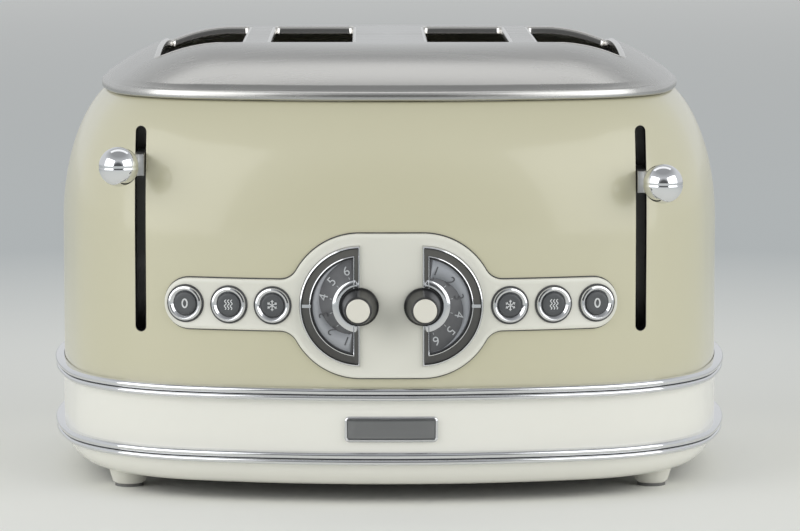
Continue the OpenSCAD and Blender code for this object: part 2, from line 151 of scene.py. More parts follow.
def mesh_object(name: str, bm: bmesh.types.BMesh) -> bpy.types.Object:
    """Turns a bmesh into a linked object.

    Args:
        name: Name of the object and of its mesh.
        bm: The mesh; it is freed.

    Returns:
        The object.
    """
    mesh = bpy.data.meshes.new(name)
    bm.to_mesh(mesh)
    bm.free()
    return link_object(name, mesh)


class ShaderGroups:
    """Node groups that several finishes share, each built once."""

    def __init__(self) -> None:
        """Starts with no group built."""
        self._made: dict[str, bpy.types.ShaderNodeTree] = {}

    def _new(self, name: str, inputs: Sequence[tuple[str, str, float]], outputs: Sequence[str]) -> tuple:
        """Makes an empty group with its sockets.

        Args:
            name: Name of the group.
            inputs: Name, socket type and default of each input.
            outputs: Names of the value outputs.

        Returns:
            The tree with its input and output nodes.
        """
        tree = bpy.data.node_groups.new(name, "ShaderNodeTree")
        for label, kind, default in inputs:
            socket = tree.interface.new_socket(name=label, in_out="INPUT", socket_type=kind)
            if kind == "NodeSocketFloat":
                socket.default_value = default
        for label in outputs:
            tree.interface.new_socket(name=label, in_out="OUTPUT", socket_type="NodeSocketFloat")
        return tree, add_node(tree, "NodeGroupInput"), add_node(tree, "NodeGroupOutput")

    def grain(self) -> bpy.types.ShaderNodeTree:
        """Fine all-over unevenness, as in paint and mouldings.

        Returns:
            A group that puts out a height and a slow variation, both about 0 to 1.
        """
        if "grain" in self._made:
            return self._made["grain"]
        tree, inlet, outlet = self._new(
            "fine_grain",
            (("Vector", "NodeSocketVector", 0), ("Fine Scale", "NodeSocketFloat", 900),
             ("Slow Scale", "NodeSocketFloat", 14)),
            ("Height", "Variation"))
        for label, scale, detail in (("Height", "Fine Scale", 2.0), ("Variation", "Slow Scale", 4.0)):
            noise = add_node(tree, "ShaderNodeTexNoise", {"Detail": detail})
            tree.links.new(inlet.outputs["Vector"], noise.inputs["Vector"])
            tree.links.new(inlet.outputs[scale], noise.inputs["Scale"])
            tree.links.new(noise.outputs["Fac"], outlet.inputs[label])
        self._made["grain"] = tree
        return tree

    def brushing(self) -> bpy.types.ShaderNodeTree:
        """Long fine lines, as left by a brushing belt.

        Returns:
            A group that puts out the lines' height and a broader shade.
        """
        if "brushing" in self._made:
            return self._made["brushing"]
        tree, inlet, outlet = self._new(
            "belt_brushing",
            (("Vector", "NodeSocketVector", 0), ("Line Scale", "NodeSocketFloat", 1.0)),
            ("Height", "Shade"))
        for label, stretch, detail in (("Height", (10, 1500, 1500), 2.0), ("Shade", (4, 300, 300), 2.0)):
            spread = add_node(tree, "ShaderNodeVectorMath", {1: stretch}, operation="MULTIPLY")
            noise = add_node(tree, "ShaderNodeTexNoise", {"Detail": detail})
            tree.links.new(inlet.outputs["Vector"], spread.inputs[0])
            tree.links.new(spread.outputs["Vector"], noise.inputs["Vector"])
            tree.links.new(inlet.outputs["Line Scale"], noise.inputs["Scale"])
            tree.links.new(noise.outputs["Fac"], outlet.inputs[label])
        self._made["brushing"] = tree
        return tree

    def edges(self) -> bpy.types.ShaderNodeTree:
        """Mask of handled edges, from how sharply the surface turns, broken up by noise.

        Returns:
            A group that puts out the mask, 0 to 1.
        """
        if "edges" in self._made:
            return self._made["edges"]
        tree, inlet, outlet = self._new(
            "handled_edges",
            (("Vector", "NodeSocketVector", 0), ("Start", "NodeSocketFloat", 0.53)),
            ("Mask",))
        geometry = add_node(tree, "ShaderNodeNewGeometry")
        noise = add_node(tree, "ShaderNodeTexNoise", {"Scale": 160})
        lift = add_node(tree, "ShaderNodeMath", operation="SUBTRACT")
        gain = add_node(tree, "ShaderNodeMath", {1: 12}, operation="MULTIPLY", use_clamp=True)
        broken = add_node(tree, "ShaderNodeMath", operation="MULTIPLY")
        tree.links.new(inlet.outputs["Vector"], noise.inputs["Vector"])
        tree.links.new(geometry.outputs["Pointiness"], lift.inputs[0])
        tree.links.new(inlet.outputs["Start"], lift.inputs[1])
        tree.links.new(lift.outputs[0], gain.inputs[0])
        tree.links.new(gain.outputs[0], broken.inputs[0])
        tree.links.new(noise.outputs["Fac"], broken.inputs[1])
        tree.links.new(broken.outputs[0], outlet.inputs["Mask"])
        self._made["edges"] = tree
        return tree


GROUPS = ShaderGroups()


@dataclass(frozen=True)
class Finish:
    """One surface finish, made into a material on first use."""

    name: str
    slot: str
    colour: tuple[float, float, float, float]
    roughness: float
    metallic: float = 0.0
    coat: float = 0.0
    brushed: bool = False
    grain_height: float = 0.02
    grain_scale: float = 900.0
    tone_spread: float = 0.05
    rough_spread: float = 0.06
    edge_gain: float = 0.12
    anisotropy: float = 0.0
    specular: float = 0.5
    coat_roughness: float = 0.05

    def material(self) -> bpy.types.Material:
        """Builds the material, or finds it when it exists.

        Returns:
            The finish's material.
        """
        found = bpy.data.materials.get(self.name)
        if found:
            return found
        made = bpy.data.materials.new(self.name)
        made.use_nodes = True
        made.diffuse_color = self.colour
        tree = made.node_tree
        shader = tree.nodes["Principled BSDF"]
        for label, value in (("Metallic", self.metallic), ("Coat Weight", self.coat),
                             ("Coat Roughness", self.coat_roughness),
                             ("Specular IOR Level", self.specular), ("Anisotropic", self.anisotropy)):
            shader.inputs[label].default_value = value
        place = add_node(tree, "ShaderNodeTexCoord").outputs["Object"]
        group = GROUPS.brushing() if self.brushed else GROUPS.grain()
        pattern = add_node(tree, "ShaderNodeGroup", node_tree=group)
        if not self.brushed:
            pattern.inputs["Fine Scale"].default_value = self.grain_scale
        edges = add_node(tree, "ShaderNodeGroup", node_tree=GROUPS.edges())
        tree.links.new(place, pattern.inputs["Vector"])
        tree.links.new(place, edges.inputs["Vector"])
        slow = pattern.outputs["Shade" if self.brushed else "Variation"]
        self._tone(tree, shader, slow, edges.outputs["Mask"])
        self._gloss(tree, shader, slow)
        bump = add_node(tree, "ShaderNodeBump", {"Strength": BUMP_STRENGTH,
                                                 "Distance": self.grain_height * MM})
        tree.links.new(pattern.outputs["Height"], bump.inputs["Height"])
        tree.links.new(bump.outputs["Normal"], shader.inputs["Normal"])
        return made

    def _tone(self, tree: bpy.types.ShaderNodeTree, shader: bpy.types.ShaderNode,
              slow: bpy.types.NodeSocket, edge: bpy.types.NodeSocket) -> None:
        """Links a base colour that shifts slowly and lightens at handled edges.

        Args:
            tree: The material's tree.
            shader: Its surface shader.
            slow: Slow variation, 0 to 1.
            edge: Mask of the edges.
        """
        drift = add_node(tree, "ShaderNodeMix", data_type="RGBA")
        low = tuple(c * (1 - self.tone_spread) for c in self.colour[:3]) + (1.0,)
        high = tuple(min(c * (1 + self.tone_spread), 1.0) for c in self.colour[:3]) + (1.0,)
        drift.inputs["A"].default_value = low
        drift.inputs["B"].default_value = high
        worn = add_node(tree, "ShaderNodeMix", data_type="RGBA")
        worn.inputs["B"].default_value = tuple(
            c + (1 - c) * self.edge_gain for c in self.colour[:3]) + (1.0,)
        tree.links.new(slow, drift.inputs["Factor"])
        tree.links.new(edge, worn.inputs["Factor"])
        tree.links.new(drift.outputs["Result"], worn.inputs["A"])
        tree.links.new(worn.outputs["Result"], shader.inputs["Base Color"])

    def _gloss(self, tree: bpy.types.ShaderNodeTree, shader: bpy.types.ShaderNode,
               slow: bpy.types.NodeSocket) -> None:
        """Links a roughness that varies round its middle value.

        Args:
            tree: The material's tree.
            shader: Its surface shader.
            slow: Slow variation, 0 to 1.
        """
        spread = add_node(tree, "ShaderNodeMapRange",
                          {"To Min": max(self.roughness - self.rough_spread, LEAST_ROUGHNESS),
                           "To Max": self.roughness + self.rough_spread})
        tree.links.new(slow, spread.inputs["Value"])
        tree.links.new(spread.outputs["Result"], shader.inputs["Roughness"])


CREAM_PAINT = Finish("cream_gloss_paint", "cream_paint", linear(203, 199, 171), 0.34, coat=0.6,
                     coat_roughness=0.09, grain_height=0.012, grain_scale=420, tone_spread=0.015,
                     rough_spread=0.03, edge_gain=0.1)
BRUSHED_STEEL = Finish("brushed_cover_steel", "brushed_cover", linear(196, 195, 192), 0.26, metallic=1,
                       brushed=True, grain_height=0.007, rough_spread=0.05, anisotropy=0.4)
POLISHED_LIP = Finish("polished_lip_steel", "brushed_cover", linear(214, 212, 208), 0.16, metallic=1,
                      grain_height=0.006, tone_spread=0.04, rough_spread=0.04)
CHROME = Finish("bright_chrome", "band_chrome", linear(228, 229, 231), 0.07, metallic=1, grain_height=0.003,
                tone_spread=0.02, rough_spread=0.03)
TRIM_CHROME = Finish("trim_chrome_plate", "trim_chrome", linear(220, 221, 223), 0.09, metallic=1,
                     grain_height=0.003, tone_spread=0.03, rough_spread=0.03)
BALL_CHROME = Finish("mirror_chrome", "ball_chrome", linear(232, 233, 235), 0.04, metallic=1,
                     grain_height=0.002, tone_spread=0.015, rough_spread=0.02)
WHITE_PLASTIC = Finish("white_gloss_moulding", "white_plastic", linear(236, 235, 226), 0.22, coat=0.35,
                       grain_height=0.01, grain_scale=500, tone_spread=0.012, rough_spread=0.04)
PANEL_PLASTIC = Finish("panel_satin_moulding", "panel_plastic", linear(228, 227, 216), 0.3, coat=0.15,
                       grain_height=0.01, grain_scale=700, tone_spread=0.012, rough_spread=0.05)
FOOT_PLASTIC = Finish("foot_satin_moulding", "foot_plastic", linear(222, 221, 212), 0.42,
                      grain_height=0.03, tone_spread=0.02)
PAD_RUBBER = Finish("foot_pad_rubber", "pad_rubber", linear(92, 92, 90), 0.75, grain_height=0.05)
DIAL_DARK = Finish("dial_dark_print", "dial_print", linear(84, 85, 88), 0.5, grain_height=0.004,
                   tone_spread=0.03, rough_spread=0.04)
DIAL_LIGHT = Finish("dial_light_print", "dial_print", linear(158, 161, 166), 0.45, grain_height=0.004,
                    tone_spread=0.02)
DIAL_MARKS = Finish("dial_marks", "dial_print", linear(190, 193, 195), 0.5, tone_spread=0.03)
DIAL_FINE = Finish("dial_dark_marks", "dial_print", linear(58, 59, 63), 0.5, tone_spread=0.03)
KNOB_BLACK = Finish("knob_gloss_black", "knob_black", linear(24, 24, 25), 0.3, specular=0.3,
                    grain_height=0.004, tone_spread=0.1, rough_spread=0.04, edge_gain=0.2)
KNOB_CREAM = Finish("knob_cream_insert", "knob_cream", linear(226, 223, 211), 0.28, coat=0.3,
                    grain_height=0.006, tone_spread=0.015)
BUTTON_GREY = Finish("button_grey_moulding", "button_grey", linear(80, 82, 84), 0.38, grain_height=0.02,
                     tone_spread=0.05)
BUTTON_MARK = Finish("button_white_print", "button_grey", linear(224, 226, 226), 0.45, tone_spread=0.02)
# Black for the slot liners, button ring seats and panel seam: painted shade in gaps and slots.
GAP_SHADE_BLACK = Finish("black_liner", "gland_rubber", linear(16, 16, 17), 0.55, grain_height=0.02)
BADGE_STEEL = Finish("badge_brushed_plate", "badge_steel", linear(134, 135, 136), 0.34, metallic=0.85,
                     brushed=True, grain_height=0.015, tone_spread=0.1)
SHEET = Finish("aluminised_sheet", "inner_sheet", linear(150, 150, 147), 0.4, metallic=0.9, brushed=True,
               grain_height=0.02, tone_spread=0.1, rough_spread=0.1)
PART_STEEL = Finish("pressed_steel", "part_steel", linear(186, 186, 184), 0.28, metallic=1,
                    grain_height=0.008, tone_spread=0.06)
SPRING_STEEL = Finish("spring_wire", "spring_steel", linear(170, 170, 172), 0.25, metallic=1,
                      grain_height=0.01, tone_spread=0.08)
# Darker copy of the inner sheet for the slot collars: painted shade down inside the bread slots.
SHADED_COLLAR_SHEET = Finish("heat_dulled_sheet", "inner_sheet", linear(84, 82, 78), 0.5, metallic=0.8,
                      brushed=True, grain_height=0.02, tone_spread=0.15, rough_spread=0.1)
# Darker, duller copy of the trim chrome for the bezel's channel floor: painted shade in the recess.
CHANNEL_SHADE = Finish("dial_channel_lacquer", "trim_chrome", linear(104, 103, 100), 0.35, metallic=0.6,
                 grain_height=0.006, tone_spread=0.06)
GROOVE = Finish("shaded_groove_chrome", "band_chrome", linear(88, 89, 90), 0.3, metallic=0.9,
                grain_height=0.003)
GUARD_WIRE = Finish("plated_wire", "guard_wire", linear(165, 165, 163), 0.3, metallic=1, grain_height=0.01,
                    tone_spread=0.1)
TRAY_STEEL = Finish("tray_sheet", "tray_steel", linear(200, 200, 198), 0.3, metallic=1, brushed=True,
                    grain_height=0.015)
MICA = Finish("pressed_mica", "mica", linear(186, 170, 132), 0.5, coat=0.2, grain_height=0.05,
              grain_scale=240, tone_spread=0.2)
RIBBON = Finish("oxidised_ribbon", "ribbon_wire", linear(128, 120, 112), 0.45, metallic=0.8,
                tone_spread=0.15)
SCREW_STEEL = Finish("plated_screw", "screw_steel", linear(190, 190, 188), 0.25, metallic=1)
MAGNET = Finish("coil_lacquer", "magnet_steel", linear(70, 60, 58), 0.4, coat=0.3, tone_spread=0.1)
PART_METAL = Finish("plain_casing", "part_metal", linear(176, 177, 178), 0.35, metallic=1)
BOARD = Finish("board_lacquer", "board_green", linear(38, 88, 58), 0.3, coat=0.4, tone_spread=0.12)
GLAND = Finish("gland_moulding", "gland_rubber", linear(28, 28, 29), 0.5, grain_height=0.04)

CAD_FINISHES: dict[str, Finish] = {finish.slot: finish for finish in (
    SHEET, PART_STEEL, SPRING_STEEL, GUARD_WIRE, TRAY_STEEL, MICA, RIBBON, SCREW_STEEL, MAGNET, PART_METAL,
    BOARD, GLAND, PAD_RUBBER)}


@dataclass(frozen=True)
class Station:
    """One direction round the plan: an arc's centre, its radius and the angle from the centre."""

    x: float
    y: float
    radius: float
    angle: float

    def at(self, inset: float) -> Point2:
        """Point at an inset from the plan's outer line."""
        reach = self.radius - inset
        return self.x + reach * math.cos(self.angle), self.y + reach * math.sin(self.angle)


@dataclass(frozen=True)
class Plan:
    """The toaster's outline from above: four bowed sides joined by four corner arcs, all tangent."""

    width: float
    depth: float
    front_r: float = 330 * MM
    side_r: float = 300 * MM
    corner_r: float = 85 * MM
    skin_inset: float = 4.5 * MM

    @property
    def skin_r(self) -> float:
        """Radius of the body's painted front."""
        return self.front_r - self.skin_inset

    @property
    def front_c(self) -> float:
        """Distance of the front arc's centre behind the middle."""
        return self.front_r - self.depth / 2

    @property
    def side_c(self) -> float:
        """Place of the right side arc's centre along X."""
        return self.width / 2 - self.side_r

    @property
    def corner(self) -> Point2:
        """Centre of the corner arc at the right and behind, both values positive."""
        span = math.hypot(self.front_c, self.side_c)
        front_reach = self.front_r - self.corner_r
        side_reach = self.side_r - self.corner_r
        along = (front_reach ** 2 - side_reach ** 2 + span ** 2) / (2 * span)
        across = math.sqrt(front_reach ** 2 - along ** 2)
        return ((along * self.side_c + across * self.front_c) / span,
                (along * self.front_c - across * self.side_c) / span - self.front_c)

    @property
    def front_turn(self) -> float:
        """Half angle of the front arc."""
        x, y = self.corner
        return math.atan2(x, self.front_c + y)

    @property
    def side_turn(self) -> float:
        """Half angle of a side arc."""
        x, y = self.corner
        return math.atan2(y, x - self.side_c)

    def stations(self, per_side: int = 40, per_corner: int = 32) -> list[Station]:
        """Stations all the way round, anticlockwise from the front's left end.

        Args:
            per_side: Steps along each bowed side.
            per_corner: Steps round each corner.

        Returns:
            The stations in order.
        """
        x, y = self.corner
        front, side, half = self.front_turn, self.side_turn, math.pi / 2
        made: list[Station] = []
        for turn in range(4):
            back = turn // 2
            if turn % 2 == 0:
                spot, radius, reach = (0, -self.front_c if back else self.front_c), self.front_r, front
            else:
                spot, radius, reach = (-self.side_c if back else self.side_c, 0), self.side_r, side
            middle = (turn - 1) * half
            made += [Station(*spot, radius, middle - reach + 2 * reach * i / per_side)
                     for i in range(per_side)]
            nxt = side if turn % 2 == 0 else front
            start, end = middle + reach, middle + half - nxt
            cx = x if turn in (0, 1) else -x
            cy = y if turn in (1, 2) else -y
            made += [Station(cx, cy, self.corner_r, start + (end - start) * i / per_corner)
                     for i in range(per_corner)]
        return made

    def inset_at(self, x: float, y: float) -> float:
        """Distance from the outer line to a point inside the plan.

        Args:
            x: Place along X.
            y: Place along Y.

        Returns:
            The inset of the point.
        """
        px, py = abs(x), abs(y)
        cx, cy = self.corner
        if math.atan2(px, self.front_c + py) <= self.front_turn:
            return self.front_r - math.hypot(px, self.front_c + py)
        if math.atan2(py, px - self.side_c) <= self.side_turn:
            return self.side_r - math.hypot(px - self.side_c, py)
        return self.corner_r - math.hypot(px - cx, py - cy)

    def front_point(self, run: float, height: float, inset: float) -> Vector:
        """Point on the front at a run along its surface from the middle.

        Args:
            run: Run along the surface, positive to the right.
            height: Height above the floor.
            inset: Inset from the plan's outer line.

        Returns:
            The point.
        """
        sign = 1 if run >= 0 else -1
        corner_start = self.skin_r * self.front_turn
        if abs(run) <= corner_start:
            angle = abs(run) / self.skin_r
            reach = self.front_r - inset
            return Vector((sign * reach * math.sin(angle), self.front_c - reach * math.cos(angle), height))
        angle = self.front_turn + (abs(run) - corner_start) / (self.corner_r - self.skin_inset)
        cx, cy = self.corner
        reach = self.corner_r - inset
        return Vector((sign * (cx + reach * math.sin(angle)), -cy - reach * math.cos(angle), height))


class Maker:
    """Turns points and faces into finished pieces."""

    @staticmethod
    def piece(name: str, bm: bmesh.types.BMesh, finishes: Sequence[Finish], body: str,
              smooth_angle: float = 35, recalculate: bool = True) -> bpy.types.Object:
        """Makes an object from a bmesh, dresses it and puts it on its body.

        Args:
            name: Name of the piece.
            bm: The mesh; it is freed.
            finishes: Finishes in the order of the faces' material numbers.
            body: The frame's body that it rides on.
            smooth_angle: Edges sharper than this many degrees stay sharp.
            recalculate: Whether normals are made to point outwards.

        Returns:
            The piece.
        """
        if recalculate:
            bmesh.ops.remove_doubles(bm, verts=bm.verts, dist=WELD)
            bmesh.ops.recalc_face_normals(bm, faces=bm.faces)
        limit = math.radians(smooth_angle)
        for face in bm.faces:
            face.smooth = True
        for edge in bm.edges:
            if len(edge.link_faces) == 2 and edge.calc_face_angle(0) > limit:
                edge.smooth = False
        made = mesh_object(name, bm)
        for finish in finishes:
            made.data.materials.append(finish.material())
        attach(made, body)
        LOG.info("%s: %d faces on %s", name, len(made.data.polygons), body)
        return made

    @staticmethod
    def rings(bm: bmesh.types.BMesh, rings: Sequence[Sequence[Vector]], close_rings: bool = True,
              close_loft: bool = False, caps: bool = False, material: int = 0) -> None:
        """Skins a row of point rings.

        Args:
            bm: The mesh that takes the faces.
            rings: Rings with the same number of points each.
            close_rings: Whether each ring joins its last point to its first.
            close_loft: Whether the last ring joins the first.
            caps: Whether the first and the last ring are filled.
            material: Material number of the faces.
        """
        verts = [[bm.verts.new(p) for p in ring] for ring in rings]
        count = len(verts[0])
        ends = len(verts) if close_loft else len(verts) - 1
        for i in range(ends):
            here, there = verts[i], verts[(i + 1) % len(verts)]
            for j in range(count if close_rings else count - 1):
                k = (j + 1) % count
                bm.faces.new((here[j], here[k], there[k], there[j])).material_index = material
        if caps:
            bm.faces.new(verts[0][::-1]).material_index = material
            bm.faces.new(verts[-1]).material_index = material

    @classmethod
    def turned(cls, bm: bmesh.types.BMesh, profile: Sequence[Point2], place: Matrix, segments: int = 64,
               closed: bool = False, material: int = 0) -> None:
        """Turns a profile of [radius, height] points about the place's +Z.

        Args:
            bm: The mesh that takes the faces.
            profile: Points from one end to the other.
            place: Where the turned shape goes.
            segments: Steps round the axis.
            closed: Whether the profile joins its last point to its first, as on a ring.
            material: Material number of the faces.
        """
        rings = [[place @ Vector((radius * math.cos(a), radius * math.sin(a), height))
                  for a in round_turn(segments)] for radius, height in profile]
        cls.rings(bm, rings, close_loft=closed, caps=not closed, material=material)

    @staticmethod
    def prism(bm: bmesh.types.BMesh, outline: Sequence[Point2], low: float, high: float,
              place: Matrix, material: int = 0) -> None:
        """Fills a flat outline and gives it a thickness.

        Args:
            bm: The mesh that takes the faces.
            outline: Corner points, anticlockwise seen from +Z.
            low: Lower height.
            high: Upper height.
            place: Where the prism goes.
            material: Material number of the faces.
        """
        lower = [bm.verts.new(place @ Vector((x, y, low))) for x, y in outline]
        upper = [bm.verts.new(place @ Vector((x, y, high))) for x, y in outline]
        count = len(outline)
        bm.faces.new(lower[::-1]).material_index = material
        bm.faces.new(upper).material_index = material
        for i in range(count):
            j = (i + 1) % count
            bm.faces.new((lower[i], lower[j], upper[j], upper[i])).material_index = material

    @staticmethod
    def cut(target: bmesh.types.BMesh, tools: Iterable[bmesh.types.BMesh]) -> bmesh.types.BMesh:
        """Cuts tools out of a solid.

        Args:
            target: The solid; it is freed.
            tools: Solids to take away; they are freed.

        Returns:
            The cut solid.
        """
        objects = []
        for index, bm in enumerate([target, *tools]):
            bmesh.ops.remove_doubles(bm, verts=bm.verts, dist=WELD / 2)
            bmesh.ops.recalc_face_normals(bm, faces=bm.faces)
            objects.append(mesh_object(f"cut_{index}", bm))
        for tool in objects[1:]:
            modifier = objects[0].modifiers.new("cut", "BOOLEAN")
            modifier.operation = "DIFFERENCE"
            modifier.solver = "EXACT"
            modifier.object = tool
        bpy.context.view_layer.update()
        graph = bpy.context.evaluated_depsgraph_get()
        result = bmesh.new()
        result.from_mesh(bpy.data.meshes.new_from_object(objects[0].evaluated_get(graph)))
        for made in objects:
            bpy.data.objects.remove(made)
        return result


def round_turn(steps: int) -> list[float]:
    """Angles of equal steps all the way round.

    Args:
        steps: Number of steps.

    Returns:
        The angles in radians, from 0.
    """
    return [2 * math.pi * i / steps for i in range(steps)]


def arc(cx: float, cy: float, radius: float, start: float, end: float, steps: int) -> list[Point2]:
    """Points along an arc.

    Args:
        cx: Centre's X.
        cy: Centre's Y.
        radius: Radius of the arc.
        start: Start angle in degrees.
        end: End angle in degrees.
        steps: Steps along it.

    Returns:
        The points, both ends with them.
    """
    return [(cx + radius * math.cos(math.radians(start + (end - start) * i / steps)),
             cy + radius * math.sin(math.radians(start + (end - start) * i / steps)))
            for i in range(steps + 1)]


def rounded_box(half_w: float, half_h: float, radius: float, steps: int = 6) -> list[Point2]:
    """Outline of a rectangle with round corners, anticlockwise.

    Args:
        half_w: Half of its width.
        half_h: Half of its height.
        radius: Radius of its corners.
        steps: Steps round each corner.

    Returns:
        The outline's points.
    """
    x, y = half_w - radius, half_h - radius
    return (arc(x, y, radius, 0, 90, steps) + arc(-x, y, radius, 90, 180, steps)
            + arc(-x, -y, radius, 180, 270, steps) + arc(x, -y, radius, 270, 360, steps))


@dataclass(frozen=True)
class Layout:
    """Places and sizes that several sub-assemblies share, read from the frame."""

    plan: Plan
    split_z: float
    body_top: float
    cover_top: float
    floor_gap: float
    dial_z: float
    skirt_inset: float = 4.2 * MM
    panel_proud: float = 2.4 * MM
    dial_x: float = 14.2 * MM
    button_x: float = 54 * MM
    button_pitch: float = 20 * MM
    lever_x: float = 115 * MM
    slot_places: tuple[float, ...] = (-89 * MM, -37 * MM, 37 * MM, 89 * MM)
    slot_w: float = 41 * MM
    slot_l: float = 140 * MM

    @classmethod
    def read(cls) -> "Layout":
        """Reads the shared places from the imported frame.

        Returns:
            The layout.
        """
        low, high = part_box("upper_band")
        body_low, body_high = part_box("body_shell")
        panel_low, panel_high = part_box("control_panel")
        skirt_low, cover_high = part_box("base_skirt")[0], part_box("top_cover")[1]
        return cls(Plan(high[0] - low[0], high[1] - low[1]), body_low[2], body_high[2], cover_high[2],
                   skirt_low[2], (panel_low[2] + panel_high[2]) / 2)

    def on_front(self, angle: float, height: float | None = None) -> Matrix:
        """Frame on the body's bowed front with +Z out of it, +X to the right and +Y up.

        Args:
            angle: Turn about the front arc's centre, positive to the right.
            height: Height above the floor, or the dials' height.

        Returns:
            The frame as a matrix.
        """
        z = self.dial_z if height is None else height
        return (Matrix.Translation((0, self.plan.front_c, z)) @ Matrix.Rotation(angle, 4, "Z")
                @ Matrix.Translation((0, -self.plan.skin_r, 0)) @ Matrix.Rotation(math.pi / 2, 4, "X"))

    def dial_place(self, side: Side) -> Matrix:
        """Frame of a dial's centre."""
        return self.on_front(side.value * math.asin(self.dial_x / self.plan.skin_r))

    def button_place(self, side: Side, place: Place) -> Matrix:
        """Frame of a push button's centre."""
        return self.on_front(side.value * self.button_turn(place))

    def button_turn(self, place: Place) -> float:
        """Turn of a push button about the front arc's centre."""
        across = self.button_x + place.value * self.button_pitch
        return math.asin(across / (self.plan.skin_r + self.panel_proud))

    def lever_place(self, side: Side, height: float) -> Matrix:
        """Frame at the corner arc's centre with +X out through the lever's slot."""
        x, y = self.plan.corner
        turn = math.asin((self.lever_x - x) / (self.plan.corner_r - self.plan.skin_inset))
        heading = turn - math.pi / 2 if side is Side.RIGHT else -math.pi / 2 - turn
        return Matrix.Translation((side.value * x, -y, height)) @ Matrix.Rotation(heading, 4, "Z")


@dataclass
class Body:
    """The painted steel body with its two lever slots and the black liners in them, which are painted
    shade.
    """

    layout: Layout
    wall: float = 1.6 * MM
    shoulder_z: float = 120 * MM
    shoulder_w: float = 36 * MM
    shoulder_h: float = 70 * MM
    lip: float = 36 * MM
    slot_w: float = 4.8 * MM
    slot_low: float = 78 * MM
    slot_high: float = 171.4 * MM
    shoulder_steps: int = 26

    def inset(self, z: float) -> float:
        """Inset of the painted surface at height z."""
        if z < self.shoulder_z:
            return self.layout.plan.skin_inset
        share = (z - self.shoulder_z) / self.shoulder_h
        return self.layout.plan.skin_inset + self.shoulder_w * (1 - math.sqrt(1 - share ** 2))

    def profile(self) -> list[Point2]:
        """Section of the wall: up outside, over the rolled top edge, down inside."""
        top = self.layout.body_top
        low = self.layout.split_z
        heights = [low + (self.shoulder_z - low) * i / 6 for i in range(6)]
        heights += [self.shoulder_z + (top - 1.2 * MM - self.shoulder_z) * i / self.shoulder_steps
                    for i in range(self.shoulder_steps + 1)]
        outer = [(self.inset(z), z) for z in heights]
        edge = self.inset(top - 1.2 * MM)
        roll = [(edge + 0.8 * MM, top - 0.4 * MM), (edge + 2.2 * MM, top), (self.lip, top),
                (self.lip, top - self.wall)]
        inner = [(self.inset(z) + self.wall, min(z, top - self.wall)) for z in reversed(heights[::3])]
        return outer + roll + inner

    def surface(self, x: float, z: float) -> float:
        """Place along Y of the painted surface on a front corner.

        Args:
            x: Place along X, taken without its sign.
            z: Height.

        Returns:
            The place along Y.
        """
        cx, cy = self.layout.plan.corner
        reach = self.layout.plan.corner_r - self.inset(z)
        return -cy - math.sqrt(reach ** 2 - (abs(x) - cx) ** 2)

    def slot_cutter(self, side: Side, grow: float, deep: float, proud: float) -> bmesh.types.BMesh:
        """Bar with round ends that stands in a lever slot and follows the body's surface.

        Args:
            side: Side of the toaster.
            grow: How much wider than the slot it is all round.
            deep: How far behind the surface it starts.
            proud: How far before the surface it ends.

        Returns:
            The bar.
        """
        half = self.slot_w / 2 + grow
        middle = (self.slot_low + self.slot_high) / 2
        tall = (self.slot_high - self.slot_low) / 2 + grow - half
        steps = 16
        flank = [(half, -tall + 2 * tall * i / steps) for i in range(1, steps)]
        outline = (flank + arc(0, tall, half, 0, 180, 12) + [(-x, -y) for x, y in flank]
                   + arc(0, -tall, half, 180, 360, 12))
        places = [(side.value * self.layout.lever_x + x, middle + y) for x, y in outline]
        bm = bmesh.new()
        Maker.rings(bm, [[Vector((x, self.surface(x, z) + shift, z)) for x, z in places]
                         for shift in (deep, -proud)], caps=True)
        return bm

    def build(self) -> None:
        """Builds the body and the black liners of its slots, painted shade inside them."""
        stations = self.layout.plan.stations()
        bm = bmesh.new()
        Maker.rings(bm, [[Vector((*st.at(d), z)) for d, z in self.profile()] for st in stations],
                    close_loft=True)
        bm = Maker.cut(bm, [self.slot_cutter(side, 0.2 * MM, 14 * MM, 8 * MM) for side in Side])
        shell = Maker.piece("painted_body", bm, [CREAM_PAINT], "root", 38)
        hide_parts("body_shell")
        # Black liners just inside each lever slot: painted shade where the slot looks dark.
        for side in Side:
            outer = self.slot_cutter(side, 0.15 * MM, 9 * MM, -0.2 * MM)
            hole = self.slot_cutter(side, -0.03 * MM, 10 * MM, 2 * MM)
            Maker.piece(f"lever_slot_liner_{side.word}", Maker.cut(outer, [hole]), [GAP_SHADE_BLACK], "root")


